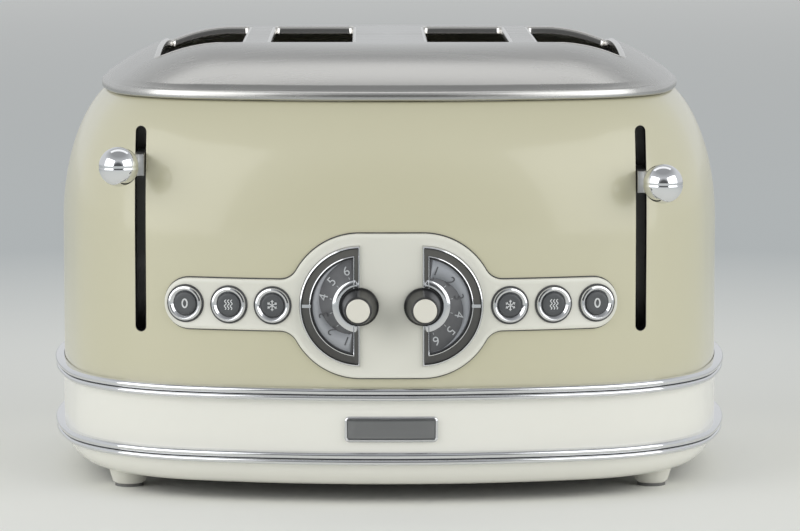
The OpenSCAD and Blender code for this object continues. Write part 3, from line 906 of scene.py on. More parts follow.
@dataclass
class Cover:
    """The domed brushed cover with its four bread slots and their rolled lips."""

    layout: Layout
    rim_inset: float = 23.5 * MM
    flat_inset: float = 72 * MM
    rim_h: float = 4 * MM
    gap: float = 0.3 * MM
    wall: float = 1.2 * MM
    power: float = 1.9
    steps: int = 30
    slot_corner: float = 3.5 * MM
    lip_r: float = 1.5 * MM

    def height(self, inset: float) -> float:
        """Height of the cover's outer surface at an inset."""
        share = min(max((inset - self.rim_inset) / (self.flat_inset - self.rim_inset), 0), 1)
        low = self.layout.body_top + self.rim_h
        return low + (self.layout.cover_top - low) * (1 - (1 - share) ** self.power)

    def profile(self) -> tuple[list[Point2], list[Point2]]:
        """Outer and inner section of the sheet, both from the rim inwards."""
        base = self.layout.body_top + self.gap
        edge = [(self.rim_inset + 0.5 * MM, base), (self.rim_inset + 0.1 * MM, base + 0.5 * MM),
                (self.rim_inset, base + 1.4 * MM), (self.rim_inset + 0.05 * MM, base + 2.6 * MM)]
        slope = [self.rim_inset + (self.flat_inset - self.rim_inset) * (i / self.steps) ** 1.35
                 for i in range(self.steps + 1)]
        step = [(self.rim_inset + 0.5 * MM, base + 3.6 * MM), (self.rim_inset + 1.2 * MM, base + 4.1 * MM),
                (self.rim_inset + 2.1 * MM, base + 4.25 * MM)]
        outer = edge + step + [(d, self.height(d)) for d in slope if d > self.rim_inset + 2.6 * MM]
        inner = [(self.rim_inset + 4 * MM, base), (self.rim_inset + 4 * MM, base + self.wall),
                 (self.rim_inset + self.wall, base + 1.3 * self.wall)]
        inner += [(d + self.wall, self.height(d) - self.wall) for d in slope[::3]]
        return outer, inner

    def slot_outline(self, middle: float, grow: float) -> list[Point2]:
        """Outline of one bread slot, grown all round."""
        half_w, half_l = self.layout.slot_w / 2 + grow, self.layout.slot_l / 2 + grow
        return [(middle + x, y) for x, y in rounded_box(half_w, half_l, self.slot_corner + grow, 7)]

    def lip(self, middle: float) -> bmesh.types.BMesh:
        """Rolled lip of one slot, which follows the dome's surface.

        Args:
            middle: Place of the slot along X.

        Returns:
            The lip as a closed ring.
        """
        steps = 10
        bm = bmesh.new()
        outline: list[Point2] = []
        base = self.slot_outline(middle, 0)
        for (ax, ay), (bx, by) in zip(base, base[1:] + base[:1]):
            parts = max(int(math.hypot(bx - ax, by - ay) / (3 * MM)), 1)
            outline += [(ax + (bx - ax) * i / parts, ay + (by - ay) * i / parts) for i in range(parts)]
        rings = []
        count = len(outline)
        for i, (x, y) in enumerate(outline):
            px, py = outline[i - 1]
            nx, ny = outline[(i + 1) % count]
            out = Vector((ny - py, px - nx, 0)).normalized()
            top = min(self.height(self.layout.plan.inset_at(x, y)), self.layout.cover_top - 0.35 * MM)
            ring = []
            for k in range(steps + 1):
                angle = math.radians(-15 + 175 * k / steps)
                shift = self.lip_r * math.cos(angle) + 0.1 * MM
                ring.append(Vector((x + out.x * shift, y + out.y * shift,
                                    top + 0.3 * MM + (self.lip_r * math.sin(angle) - self.lip_r))))
            drop = Vector((0, 0, -2.6 * MM))
            inside = ring[-1].copy()
            ring += [inside + drop, inside + drop + out * 0.9 * MM, ring[0] + Vector((0, 0, -1.2 * MM))]
            rings.append(ring)
        Maker.rings(bm, rings, close_loft=True)
        return bm

    def build(self) -> None:
        """Builds the cover's sheet and the lips of its slots."""
        stations = self.layout.plan.stations()
        outer, inner = self.profile()
        bm = bmesh.new()
        Maker.rings(bm, [[Vector((*st.at(d), z)) for st in stations]
                         for d, z in list(reversed(outer)) + inner], caps=True)
        tools = []
        for middle in self.layout.slot_places:
            tool = bmesh.new()
            Maker.prism(tool, self.slot_outline(middle, 0.4 * MM), self.layout.body_top - 2 * MM,
                        self.layout.cover_top + 5 * MM, Matrix())
            tools.append(tool)
        shell = Maker.piece("domed_cover", Maker.cut(bm, tools), [BRUSHED_STEEL], "root", 30)
        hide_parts("top_cover")
        for index, middle in enumerate(self.layout.slot_places, 1):
            Maker.piece(f"slot_lip_{index}", self.lip(middle), [POLISHED_LIP], "root", 60)


@dataclass
class Base:
    """The white skirt, the two chromed bands and the badge."""

    layout: Layout
    wall: float = 2.4 * MM
    band_h: float = 6 * MM
    lower_band_z: float = 19.5 * MM
    badge_z: float = 35.8 * MM
    badge_half: Point2 = (21.3 * MM, 5.9 * MM)
    turn_in: float = 12.8 * MM
    tray_gap: float = 0.3 * MM
    tray_mouth_y: Point2 = (60 * MM, 170 * MM)
    gland_hole_r: float = 5 * MM

    def skirt(self) -> None:
        """Builds the skirt, with the mouths of the trays and the gland's hole."""
        low, inset = self.layout.floor_gap, self.layout.skirt_inset
        turn = self.lower_band_z + 1 * MM
        curve = [(inset + self.turn_in * (1 - math.sin(a)) ** 0.9, turn - (turn - low) * math.cos(a))
                 for a in (math.radians(90 * i / 14) for i in range(15))]
        outer = curve + [(inset, self.layout.split_z)]
        inner = [(d + self.wall, z + (1.4 * MM if z < turn else 0)) for d, z in outer]
        bm = bmesh.new()
        Maker.rings(bm, [[Vector((*st.at(d), z)) for d, z in outer + inner[::-1]]
                         for st in self.layout.plan.stations()], close_loft=True)
        tools = []
        for side in Side:
            tray_low, tray_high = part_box(f"crumb_tray_{side.word}")
            left, right = tray_low[0] - self.tray_gap, tray_high[0] + self.tray_gap
            near, far = self.tray_mouth_y
            tool = bmesh.new()
            Maker.prism(tool, [(left, near), (right, near), (right, far), (left, far)],
                        tray_low[2] - self.tray_gap, tray_high[2] + self.tray_gap, Matrix())
            tools.append(tool)
        gland_low, gland_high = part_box("cord_gland")
        tool = bmesh.new()
        Maker.prism(tool, arc(0, 0, self.gland_hole_r, 0, 350, 35), -60 * MM, 20 * MM,
                    Matrix.Translation((0, gland_high[1] - 20 * MM, (gland_low[2] + gland_high[2]) / 2))
                    @ Matrix.Rotation(-math.pi / 2, 4, "X"))
        tools.append(tool)
        skirt = Maker.piece("white_skirt", Maker.cut(bm, tools), [WHITE_PLASTIC], "root", 40)
        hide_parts("base_skirt")

    def band(self, name: str, node: str) -> None:
        """Builds one chromed band: a ridge, a groove and a broader ridge under it.

        Args:
            name: Name of the piece.
            node: The frame's node that it stands for.
        """
        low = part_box(node)[0][2]
        inset = self.layout.skirt_inset
        lower = [(1.9 * MM - 1.5 * MM * math.sin(a), low + 1.35 * MM - 1.35 * MM * math.cos(a))
                 for a in (math.radians(12 * i) for i in range(14))]
        upper = [(1.75 * MM - 1.75 * MM * math.sin(a), low + 4.35 * MM - 1.65 * MM * math.cos(a))
                 for a in (math.radians(8 + 12 * i) for i in range(15))]
        profile = [(inset, low), *lower, (2.3 * MM, low + 2.75 * MM), *upper, (inset, low + self.band_h)]
        bm = bmesh.new()
        stations = self.layout.plan.stations()
        Maker.rings(bm, [[Vector((*st.at(d), z)) for d, z in profile] for st in stations], close_loft=True)
        groove = range(len(lower) - 1, len(lower) + 3)
        bm.faces.ensure_lookup_table()
        for index, face in enumerate(bm.faces):
            face.material_index = 1 if index % len(profile) in groove else 0
        piece = Maker.piece(name, bm, [CHROME, GROOVE], "root", 50)
        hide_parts(node)

    def badge(self) -> None:
        """Builds the bare badge: a rounded frame round a recessed brushed plate."""
        half_w, half_h = self.badge_half
        inset = self.layout.skirt_inset
        sections = ((0.0, 0.0), (0.0, 1.1), (0.45, 1.65), (1.0, 1.7), (1.35, 1.35), (1.5, 0.5), (1.5, 0.0))
        frame_mesh, plate_mesh = bmesh.new(), bmesh.new()

        def bent(points: list[Point2], rise: float) -> list[Vector]:
            """Lays flat points on the skirt's front."""
            return [self.layout.plan.front_point(x, self.badge_z + y, inset - rise) for x, y in points]

        def outline(shrink: float) -> list[Point2]:
            """Badge outline with extra points along its long sides."""
            base = rounded_box(half_w - shrink, half_h - shrink, max(2.2 * MM - shrink, 0.6 * MM), 6)
            full: list[Point2] = []
            for (ax, ay), (bx, by) in zip(base, base[1:] + base[:1]):
                full += [(ax + (bx - ax) * i / 6, ay + (by - ay) * i / 6) for i in range(6)]
            return full

        Maker.rings(frame_mesh, [bent(outline(s * MM), h * MM) for s, h in sections], close_loft=True)
        piece = Maker.piece("badge_surround", frame_mesh, [TRIM_CHROME], "root", 50)
        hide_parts("badge_frame")
        plate = [bent(outline(1.55 * MM), 0), bent(outline(1.55 * MM), 0.85 * MM),
                 bent(outline(1.9 * MM), 0.95 * MM)]
        across = [bent([(x * (1 - k / 5), y * (1 - k / 5)) for x, y in outline(1.9 * MM)], 0.95 * MM)
                  for k in range(1, 5)]
        Maker.rings(plate_mesh, plate + across, caps=True)
        piece = Maker.piece("badge_face", plate_mesh, [BADGE_STEEL], "root", 40)
        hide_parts("badge_plate")

    def build(self) -> None:
        """Builds the base."""
        self.skirt()
        self.band("upper_chrome_band", "upper_band")
        self.band("lower_chrome_band", "lower_band")
        self.badge()


class Repeats:
    """Geometry Nodes trees for pieces that repeat, each baked to a plain mesh."""

    foot_top_r: float = 9.7 * MM
    foot_low_r: float = 7.4 * MM
    foot_edge: float = 0.8 * MM
    foot_sides: int = 64

    @staticmethod
    def scatter_tree(name: str, material: bpy.types.Material) -> bpy.types.GeometryNodeTree:
        """Tree that stands a tapered round shape on every point of its mesh.

        Args:
            name: Name of the tree.
            material: Material that it sets.

        Returns:
            The tree, with inputs for the shape's radii, height and sides.
        """
        tree = bpy.data.node_groups.new(name, "GeometryNodeTree")
        tree.interface.new_socket(name="Points", in_out="INPUT", socket_type="NodeSocketGeometry")
        for label in ("Lower Radius", "Upper Radius", "Height"):
            tree.interface.new_socket(name=label, in_out="INPUT", socket_type="NodeSocketFloat")
        tree.interface.new_socket(name="Sides", in_out="INPUT", socket_type="NodeSocketInt")
        tree.interface.new_socket(name="Pieces", in_out="OUTPUT", socket_type="NodeSocketGeometry")
        links = tree.links
        inlet, outlet = add_node(tree, "NodeGroupInput"), add_node(tree, "NodeGroupOutput")
        cone = add_node(tree, "GeometryNodeMeshCone", {"Side Segments": 6})
        for label, socket in (("Sides", "Vertices"), ("Lower Radius", "Radius Bottom"),
                              ("Upper Radius", "Radius Top"), ("Height", "Depth")):
            links.new(inlet.outputs[label], cone.inputs[socket])
        stand = add_node(tree, "GeometryNodeInstanceOnPoints")
        real = add_node(tree, "GeometryNodeRealizeInstances")
        dress = add_node(tree, "GeometryNodeSetMaterial", {"Material": material})
        links.new(inlet.outputs["Points"], stand.inputs["Points"])
        links.new(cone.outputs["Mesh"], stand.inputs["Instance"])
        links.new(stand.outputs["Instances"], real.inputs["Geometry"])
        links.new(real.outputs["Geometry"], dress.inputs["Geometry"])
        links.new(dress.outputs["Geometry"], outlet.inputs["Pieces"])
        return tree

    @staticmethod
    def bake(name: str, points: Sequence[Vector], tree: bpy.types.GeometryNodeTree,
             values: dict[str, float]) -> bmesh.types.BMesh:
        """Runs a tree on a mesh of points and takes the result as a plain mesh.

        Args:
            name: Name of the scratch object.
            points: Where the pieces stand.
            tree: The tree.
            values: Value of each named input.

        Returns:
            The baked mesh.
        """
        mesh = bpy.data.meshes.new(name)
        mesh.from_pydata([tuple(p) for p in points], [], [])
        holder = link_object(name, mesh)
        modifier = holder.modifiers.new("repeat", "NODES")
        modifier.node_group = tree
        for item in tree.interface.items_tree:
            if item.in_out == "INPUT" and item.name in values:
                modifier[item.identifier] = values[item.name]
        bpy.context.view_layer.update()
        graph = bpy.context.evaluated_depsgraph_get()
        baked = bmesh.new()
        baked.from_mesh(bpy.data.meshes.new_from_object(holder.evaluated_get(graph)))
        bpy.data.objects.remove(holder)
        return baked

    @classmethod
    def feet(cls) -> None:
        """Builds the four tapered feet with softened edges."""
        low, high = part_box("feet")
        top_r = cls.foot_top_r
        points = [Vector((x, y, low[2])) for x in (low[0] + top_r, high[0] - top_r)
                  for y in (low[1] + top_r, high[1] - top_r)]
        tree = cls.scatter_tree("tapered_feet", FOOT_PLASTIC.material())
        bm = cls.bake("feet_points", points, tree,
                      {"Lower Radius": cls.foot_low_r, "Upper Radius": top_r, "Height": high[2] - low[2],
                       "Sides": cls.foot_sides})
        bm.edges.ensure_lookup_table()
        bmesh.ops.remove_doubles(bm, verts=bm.verts, dist=WELD)
        rims = [e for e in bm.edges if len(e.link_faces) == 2 and e.calc_face_angle(0) > 1
                and e.verts[0].co.z < low[2] + 0.5 * MM]
        bmesh.ops.bevel(bm, geom=rims, offset=cls.foot_edge, segments=3, affect="EDGES")
        piece = Maker.piece("tapered_feet", bm, [FOOT_PLASTIC], "root", 40)
        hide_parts("feet")


@dataclass
class Panel:
    """The off-white control panel, its dials, button rings and push buttons."""

    layout: Layout
    half_height: float = 33 * MM
    arm_half: float = 11.65 * MM
    reach: float = 105 * MM
    fillet: float = 9 * MM
    bezel_r: float = 27.5 * MM
    plate_r: float = 22 * MM
    ring_r: float = 12.3 * MM
    bar: float = 0.56
    hole_r: float = 6.6 * MM
    channel_row: int = 5

    def outline(self, shrink: float) -> list[Point2]:
        """Panel outline in flat coordinates round the dials' height, anticlockwise.

        Args:
            shrink: How far inside the real edge it runs.

        Returns:
            The outline's points.
        """
        big, small = self.half_height - shrink, self.arm_half - shrink
        cx, end = self.layout.dial_x, self.reach - self.arm_half
        fillet = self.fillet + shrink
        rise = small + fillet
        offset = math.sqrt((big + fillet) ** 2 - rise ** 2)
        touch = math.degrees(math.atan2(rise, offset))
        quarter = arc(end, 0, small, 0, 90, 12)
        quarter += arc(cx + offset, rise, fillet, 270, 180 + touch, 8)
        quarter += arc(cx, 0, big, touch, 90, 24)
        upper = quarter + [(-x, y) for x, y in reversed(quarter)]
        return upper + [(-x, -y) for x, y in upper[1:-1]]

    def bend(self, bm: bmesh.types.BMesh) -> None:
        """Slices a flat piece and lays it on the bowed front.

        Args:
            bm: Mesh with X along the front, Y up and Z out of the skin; it is changed in place.
        """
        plan, step = self.layout.plan, 3 * MM
        count = int(self.reach / step)
        for i in range(-count, count + 1):
            bmesh.ops.bisect_plane(bm, geom=bm.verts[:] + bm.edges[:] + bm.faces[:],
                                   plane_co=(i * step, 0, 0), plane_no=(1, 0, 0))
        for vert in bm.verts:
            x, y, z = vert.co
            vert.co = plan.front_point(x, self.layout.dial_z + y, plan.skin_inset - z)

    def sector(self, side: Side, inset: float, steps: int = 48) -> list[Point2]:
        """D-shaped outline of a dial, with its straight edge towards the middle.

        Args:
            side: Side of the toaster.
            inset: How far inside the bezel's edge it runs.
            steps: Steps along the round edge.

        Returns:
            Points from the straight edge's lower end round to its upper end.
        """
        radius, flat = self.bezel_r - inset, inset * self.bar
        spread = math.degrees(math.acos(flat / radius))
        points = arc(0, 0, radius, -spread, spread, steps)
        return points if side is Side.RIGHT else [(-x, y) for x, y in reversed(points)]

    def plate(self) -> None:
        """Builds the panel with a raised rim and holes for what sits in it."""
        proud = self.layout.panel_proud
        bm = bmesh.new()
        sections = ((0.0, 0.0), (0.0, proud - 0.9 * MM), (0.3 * MM, proud - 0.25 * MM), (0.9 * MM, proud),
                    (2.2 * MM, proud), (3.0 * MM, proud - 0.35 * MM))
        Maker.rings(bm, [[Vector((x, y, z)) for x, y in self.outline(shrink)] for shrink, z in sections],
                    caps=True)
        tools = []
        skin = self.layout.plan.skin_r
        hole = arc(0, 0, self.hole_r, 0, 352, 44)
        for side in Side:
            cuts = [(self.sector(side, -0.15 * MM), math.asin(self.layout.dial_x / skin))]
            cuts += [(hole, self.layout.button_turn(place)) for place in Place]
            for outline, turn in cuts:
                tool = bmesh.new()
                Maker.prism(tool, outline, -5 * MM, 9 * MM,
                            Matrix.Translation((side.value * skin * turn, 0, 0)))
                tools.append(tool)
        bm = Maker.cut(bm, tools)
        self.bend(bm)
        piece = Maker.piece("control_fascia", bm, [PANEL_PLASTIC], "root", 28)
        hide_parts("control_panel")
        self.seam()

    def seam(self) -> None:
        """Builds the thin black ring round the panel's edge, painted shade in the seam where the panel
        meets the body.
        """
        bm = bmesh.new()
        sections = ((0.1 * MM, 0.0), (-0.55 * MM, 0.0), (-0.55 * MM, 0.35 * MM), (0.1 * MM, 0.35 * MM))
        Maker.rings(bm, [[Vector((x, y, z)) for x, y in self.outline(shrink)] for shrink, z in sections],
                    close_loft=True)
        self.bend(bm)
        Maker.piece("fascia_gasket", bm, [GAP_SHADE_BLACK], "root", 40)

    def bezel(self, side: Side) -> None:
        """Builds one dial's chromed bezel: two bright edges with a channel between, whose floor is painted
        darker as shade, and its index.

        Args:
            side: Side of the toaster.
        """
        place = self.layout.dial_place(side)
        proud = self.layout.panel_proud
        steps = ((0.0, 0.5), (0.25, 1.15), (0.75, 1.35), (1.2, 1.0), (1.5, 0.1), (4.2, -0.3),
                 (4.5, 0.25), (4.85, 0.4), (5.3, 0.15), (5.5, -0.9))
        sections = [(0.0, -2.0 * MM), *((inset * MM, proud + lift * MM) for inset, lift in steps),
                    (5.5 * MM, -2.0 * MM)]
        bm = bmesh.new()
        Maker.rings(bm, [[place @ Vector((x, y, z)) for x, y in self.sector(side, inset)]
                         for inset, z in sections], close_loft=True)
        count = len(self.sector(side, 0))
        # The channel's floor takes the darker finish as painted shade.
        bm.faces.ensure_lookup_table()
        for face in bm.faces[self.channel_row * count:(self.channel_row + 1) * count]:
            face.material_index = 1
        mark = [(side.value * x, y) for x, y in rounded_box(2.2 * MM, 0.75 * MM, 0.3 * MM, 3)]
        middle = Matrix.Translation((side.value * (self.bezel_r - 3 * MM), 0, 0))
        Maker.prism(bm, mark if side is Side.RIGHT else mark[::-1], proud - 0.6 * MM, proud + 0.75 * MM,
                    place @ middle)
        piece = Maker.piece(f"dial_surround_{side.word}", bm, [TRIM_CHROME, CHANNEL_SHADE], "root", 32)
        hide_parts(f"dial_bezel_{side.word}")

    def scale_plate(self, side: Side) -> None:
        """Builds one dial's printed plate with its crescent, its numerals and the ring round the knob.

        Args:
            side: Side of the toaster.
        """
        place = self.layout.dial_place(side)
        face = self.layout.panel_proud - 0.75 * MM
        flat = 3.1 * MM
        bm = bmesh.new()
        edge = self.sector(side, self.bezel_r - self.plate_r + 0.05 * MM)
        Maker.prism(bm, edge, -1.5 * MM, face, place, 0)
        self.crescent(bm, side, place, face, flat)
        self.knob_ring(bm, side, place, face)
        for number in range(1, 7):
            share = (number - 1) / 5
            sweep = math.radians(-69 + 138 * share)
            turn = math.pi - sweep if side is Side.LEFT else -sweep
            spot = Vector((math.cos(turn), math.sin(turn), 0)) * 16.9 * MM
            heading = turn - math.pi / 2
            dark = number <= 3
            self.glyph(bm, str(number), 6.0 * MM,
                       place @ Matrix.Translation(spot + Vector((0, 0, face + 0.14 * MM)))
                       @ Matrix.Rotation(heading, 4, "Z"), 4 if dark else 3)
            tick = place @ Matrix.Rotation(turn, 4, "Z") @ Matrix.Translation((13.5 * MM, 0, 0))
            Maker.prism(bm, rounded_box(0.55 * MM, 0.14 * MM, 0.06 * MM, 2), face, face + 0.16 * MM, tick,
                        4 if number == 1 else 3)
        piece = Maker.piece(f"dial_scale_{side.word}", bm,
                            [DIAL_DARK, DIAL_LIGHT, TRIM_CHROME, DIAL_MARKS, DIAL_FINE], "root", 40, False)
        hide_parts(f"dial_plate_{side.word}")

    def knob_ring(self, bm: bmesh.types.BMesh, side: Side, place: Matrix, face: float) -> None:
        """Adds the bright half ring round the knob, which slopes down outwards.

        Args:
            bm: The mesh that takes it.
            side: Side of the toaster.
            place: Frame of the dial's centre.
            face: Height of the plate's face.
        """
        steps = 48
        section = ((8.9, 0.0), (8.9, 0.95), (9.2, 1.05), (11.9, 0.55), (12.3, 0.25), (12.3, 0.0))
        rings = []
        for i in range(steps + 1):
            sweep = math.radians(-86 + 172 * i / steps)
            rings.append([place @ Vector((side.value * (r * MM * math.cos(sweep) + 0.4 * MM),
                                          r * MM * math.sin(sweep), face + h * MM)) for r, h in section])
        Maker.rings(bm, rings, caps=True, material=2)

    def crescent(self, bm: bmesh.types.BMesh, side: Side, place: Matrix, face: float, flat: float) -> None:
        """Adds the light crescent that narrows towards the highest number.

        Args:
            bm: The mesh that takes it.
            side: Side of the toaster.
            place: Frame of the dial's centre.
            face: Height of the plate's face.
            flat: Distance of the straight edge from the dial's centre line.
        """
        steps = 56
        wide = self.plate_r - 0.5 * MM
        low, high = face - 0.02 * MM, face + 0.08 * MM
        rings = []
        for i in range(steps + 1):
            share = i / steps
            sweep = math.radians(-78 + 156 * share)
            turn = math.pi - sweep if side is Side.LEFT else -sweep
            thin = self.ring_r + 0.2 * MM + (wide - self.ring_r) * min(share * 1.05, 0.98) ** 0.75
            corners = [(side.value * max(side.value * radius * math.cos(turn), flat + 0.4 * MM),
                        radius * math.sin(turn), height)
                       for radius, height in ((thin, low), (wide, low), (wide, high), (thin, high))]
            rings.append([place @ Vector(corner) for corner in corners])
        Maker.rings(bm, rings if side is Side.LEFT else rings[::-1], caps=True, material=1)

    @staticmethod
    def glyph(bm: bmesh.types.BMesh, text: str, size: float, place: Matrix, material: int) -> None:
        """Adds a printed figure as thin raised faces.

        Args:
            bm: The mesh that takes it.
            text: The figure.
            size: Its height.
            place: Frame of its middle, with +Z towards the viewer.
            material: Material number of its faces.
        """
        curve = bpy.data.curves.new("figure", "FONT")
        curve.body = text
        curve.size = size
        curve.extrude = 0.05 * MM
        curve.align_x = "CENTER"
        curve.align_y = "CENTER"
        holder = link_object("figure", curve)
        bpy.context.view_layer.update()
        graph = bpy.context.evaluated_depsgraph_get()
        mesh = bpy.data.meshes.new_from_object(holder.evaluated_get(graph))
        mesh.transform(place)
        known = len(bm.faces)
        bm.from_mesh(mesh)
        bm.faces.ensure_lookup_table()
        for index in range(known, len(bm.faces)):
            bm.faces[index].material_index = material
        bpy.data.objects.remove(holder)

    def button_rings(self) -> None:
        """Builds the six chromed rings round the push buttons, and the black rings of painted shadow just
        outside them.
        """
        proud = self.layout.panel_proud
        profile = ((6.4, -1.0), (6.4, 2.4), (8.05, 2.42), (8.1, 3.0), (7.75, 3.75), (7.0, 4.0), (6.4, 3.75),
                   (5.95, 3.2), (5.6, 2.9), (5.35, 2.7), (5.32, 0.0), (5.32, -1.0))
        bm = bmesh.new()
        for side in Side:
            for place in Place:
                Maker.turned(bm, [(r * MM, h * MM + proud - 2.4 * MM) for r, h in profile],
                             self.layout.button_place(side, place), 64, closed=True)
        piece = Maker.piece("button_rings", bm, [TRIM_CHROME], "root", 40)
        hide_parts("button_bezels")
        # Thin black rings just outside the chromed rings: painted shadow in the gap round each ring.
        bm = bmesh.new()
        for side in Side:
            for place in Place:
                Maker.turned(bm, [(8.75 * MM, proud - 0.4 * MM), (8.75 * MM, proud + 0.06 * MM),
                                  (7.9 * MM, proud + 0.2 * MM), (7.9 * MM, proud - 0.4 * MM)],
                             self.layout.button_place(side, place), 64, closed=True)
        Maker.piece("button_ring_seats", bm, [GAP_SHADE_BLACK], "root", 40)

    def mark_strokes(self, mark: Mark) -> list[tuple[list[Point2], float]]:
        """Centre lines and widths of a button's printed symbol.

        Args:
            mark: The symbol.

        Returns:
            Each stroke's points and its width.
        """
        if mark is Mark.ZERO:
            loop = [(1.15 * MM * math.cos(a), 1.9 * MM * math.sin(a))
                    for a in (2 * math.pi * i / 28 for i in range(29))]
            return [(loop, 0.7 * MM)]
        if mark is Mark.HEAT:
            return [([((across + 0.42 * math.sin(t * 4.2 * math.pi) + 0.25 * t) * MM, (t - 0.5) * 4.6 * MM)
                      for t in (i / 20 for i in range(21))], 0.42 * MM) for across in (-1.5, -0.1, 1.3)]
        strokes = []
        for arm in range(6):
            turn = math.radians(30 + 60 * arm)
            cos, sin = math.cos(turn), math.sin(turn)
            strokes.append(([(0.0, 0.0), (2.5 * MM * cos, 2.5 * MM * sin)], 0.4 * MM))
            for lean in (-1, 1):
                away = turn + lean * math.radians(50)
                start = (1.5 * MM * cos, 1.5 * MM * sin)
                strokes.append(([start, (start[0] + 0.8 * MM * math.cos(away),
                                         start[1] + 0.8 * MM * math.sin(away))], 0.32 * MM))
        return strokes

    def buttons(self) -> None:
        """Builds the six push buttons, each on its own body."""
        face = self.layout.panel_proud + 1 * MM
        marks = {Place.OUTER: Mark.ZERO, Place.MIDDLE: Mark.HEAT, Place.INNER: Mark.FROST}
        profile = ((2.0, -6.0), (2.0, -2.0), (5.2, -2.0), (5.2, 2.9), (5.0, 3.25), (4.6, 3.4))
        dished = ((3.4, 3.32), (1.8, 3.26), (0.4, 3.24))
        for side in Side:
            for place in Place:
                spot = self.layout.button_place(side, place)
                bm = bmesh.new()
                Maker.turned(bm, [(r * MM, h * MM) for r, h in (*profile, *dished)], spot, 56)
                for line, width in self.mark_strokes(marks[place]):
                    self.stroke(bm, line, width, face, spot)
                node = f"button_{side.word}_{place.name.lower()}"
                piece = Maker.piece(node.replace("button", "push"), bm, [BUTTON_GREY, BUTTON_MARK],
                                    node, 40, False)
                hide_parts(node)

    @staticmethod
    def stroke(bm: bmesh.types.BMesh, line: list[Point2], width: float, face: float, place: Matrix) -> None:
        """Adds a printed stroke as a thin raised strip.

        Args:
            bm: The mesh that takes it.
            line: The stroke's centre line.
            width: Its width.
            face: Height of the face that it lies on.
            place: Frame of the button.
        """
        left, right = [], []
        for i, (x, y) in enumerate(line):
            ax, ay = line[max(i - 1, 0)]
            bx, by = line[min(i + 1, len(line) - 1)]
            away = math.hypot(bx - ax, by - ay)
            nx, ny = -(by - ay) / away * width / 2, (bx - ax) / away * width / 2
            left.append((x + nx, y + ny))
            right.append((x - nx, y - ny))
        for i in range(len(line) - 1):
            Maker.prism(bm, [right[i], right[i + 1], left[i + 1], left[i]], face - 0.18 * MM,
                        face + 0.02 * MM, place, 1)

    def build(self) -> None:
        """Builds the panel and all that sits in it."""
        self.plate()
        for side in Side:
            self.bezel(side)
            self.scale_plate(side)
        self.button_rings()
        self.buttons()


@dataclass
class Knob:
    """One browning knob: a black body that tapers from a stepped base, and a cream insert."""

    layout: Layout
    side: Side
    base_r: float = 8.7 * MM
    front_r: float = 6.3 * MM
    length: float = 19 * MM

    def build(self) -> None:
        """Builds the knob and its insert."""
        place = self.layout.dial_place(self.side)
        low = self.layout.panel_proud + 0.4 * MM
        high = self.layout.panel_proud + self.length
        base, front = self.base_r, self.front_r
        profile = [(3 * MM, -14 * MM), (3 * MM, low)]
        profile += [(base - inset * MM, low + lift * MM) for inset, lift in (
            (0.3, 0), (0, 0.4), (0, 2.2), (0.5, 2.8), (0.9, 3.4))]
        for i in range(1, 9):
            share = i / 8
            profile.append((base - 0.9 * MM - (base - 0.9 * MM - front) * share ** 0.8,
                            low + 3.4 * MM + (high - 1.6 * MM - low - 3.4 * MM) * share))
        profile += [(front - 0.15 * MM, high - 1.0 * MM), (front - 0.6 * MM, high - 0.65 * MM),
                    (5.5 * MM, high - 0.75 * MM), (5.4 * MM, high - 1.4 * MM), (0.4 * MM, high - 1.4 * MM)]
        word = self.side.word
        bm = bmesh.new()
        Maker.turned(bm, profile, place, 72)
        piece = Maker.piece(f"browning_knob_{word}", bm, [KNOB_BLACK], f"dial_{word}", 34)
        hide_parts(f"knob_{word}")
        bm = bmesh.new()
        insert = ((5.35, -1.38), (5.35, -0.5), (5.1, -0.22), (4.6, -0.1), (3.0, -0.04), (0.3, -0.02))
        Maker.turned(bm, [(r * MM, high + h * MM) for r, h in insert], place, 64)
        piece = Maker.piece(f"knob_insert_{word}", bm, [KNOB_CREAM], f"dial_{word}", 40)
        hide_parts(f"knob_cap_{word}")


@dataclass
class LeverBall:
    """One chromed lever ball, with a fine seam between its halves."""

    layout: Layout
    side: Side
    radius: float = 9.1 * MM
    out: float = 11.6 * MM

    def build(self) -> None:
        """Builds the ball round the end of the lever's arm."""
        node = f"lever_ball_{self.side.word}"
        low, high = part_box(node)
        height = (low[2] + high[2]) / 2
        place = (self.layout.lever_place(self.side, height)
                 @ Matrix.Translation((self.layout.plan.corner_r + self.out, 0, 0)))
        profile: list[Point2] = []
        steps = 48
        for i in range(steps + 1):
            latitude = math.radians(-88 + 176 * i / steps)
            seam = 0.25 * MM if abs(latitude) < math.radians(1.6) else 0.0
            profile.append(((self.radius - seam) * math.cos(latitude), self.radius * math.sin(latitude)))
        bm = bmesh.new()
        Maker.turned(bm, profile, place, 72)
        piece = Maker.piece(f"chrome_ball_{self.side.word}", bm, [BALL_CHROME],
                            f"carriage_{self.side.word}", 60)
        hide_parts(node)


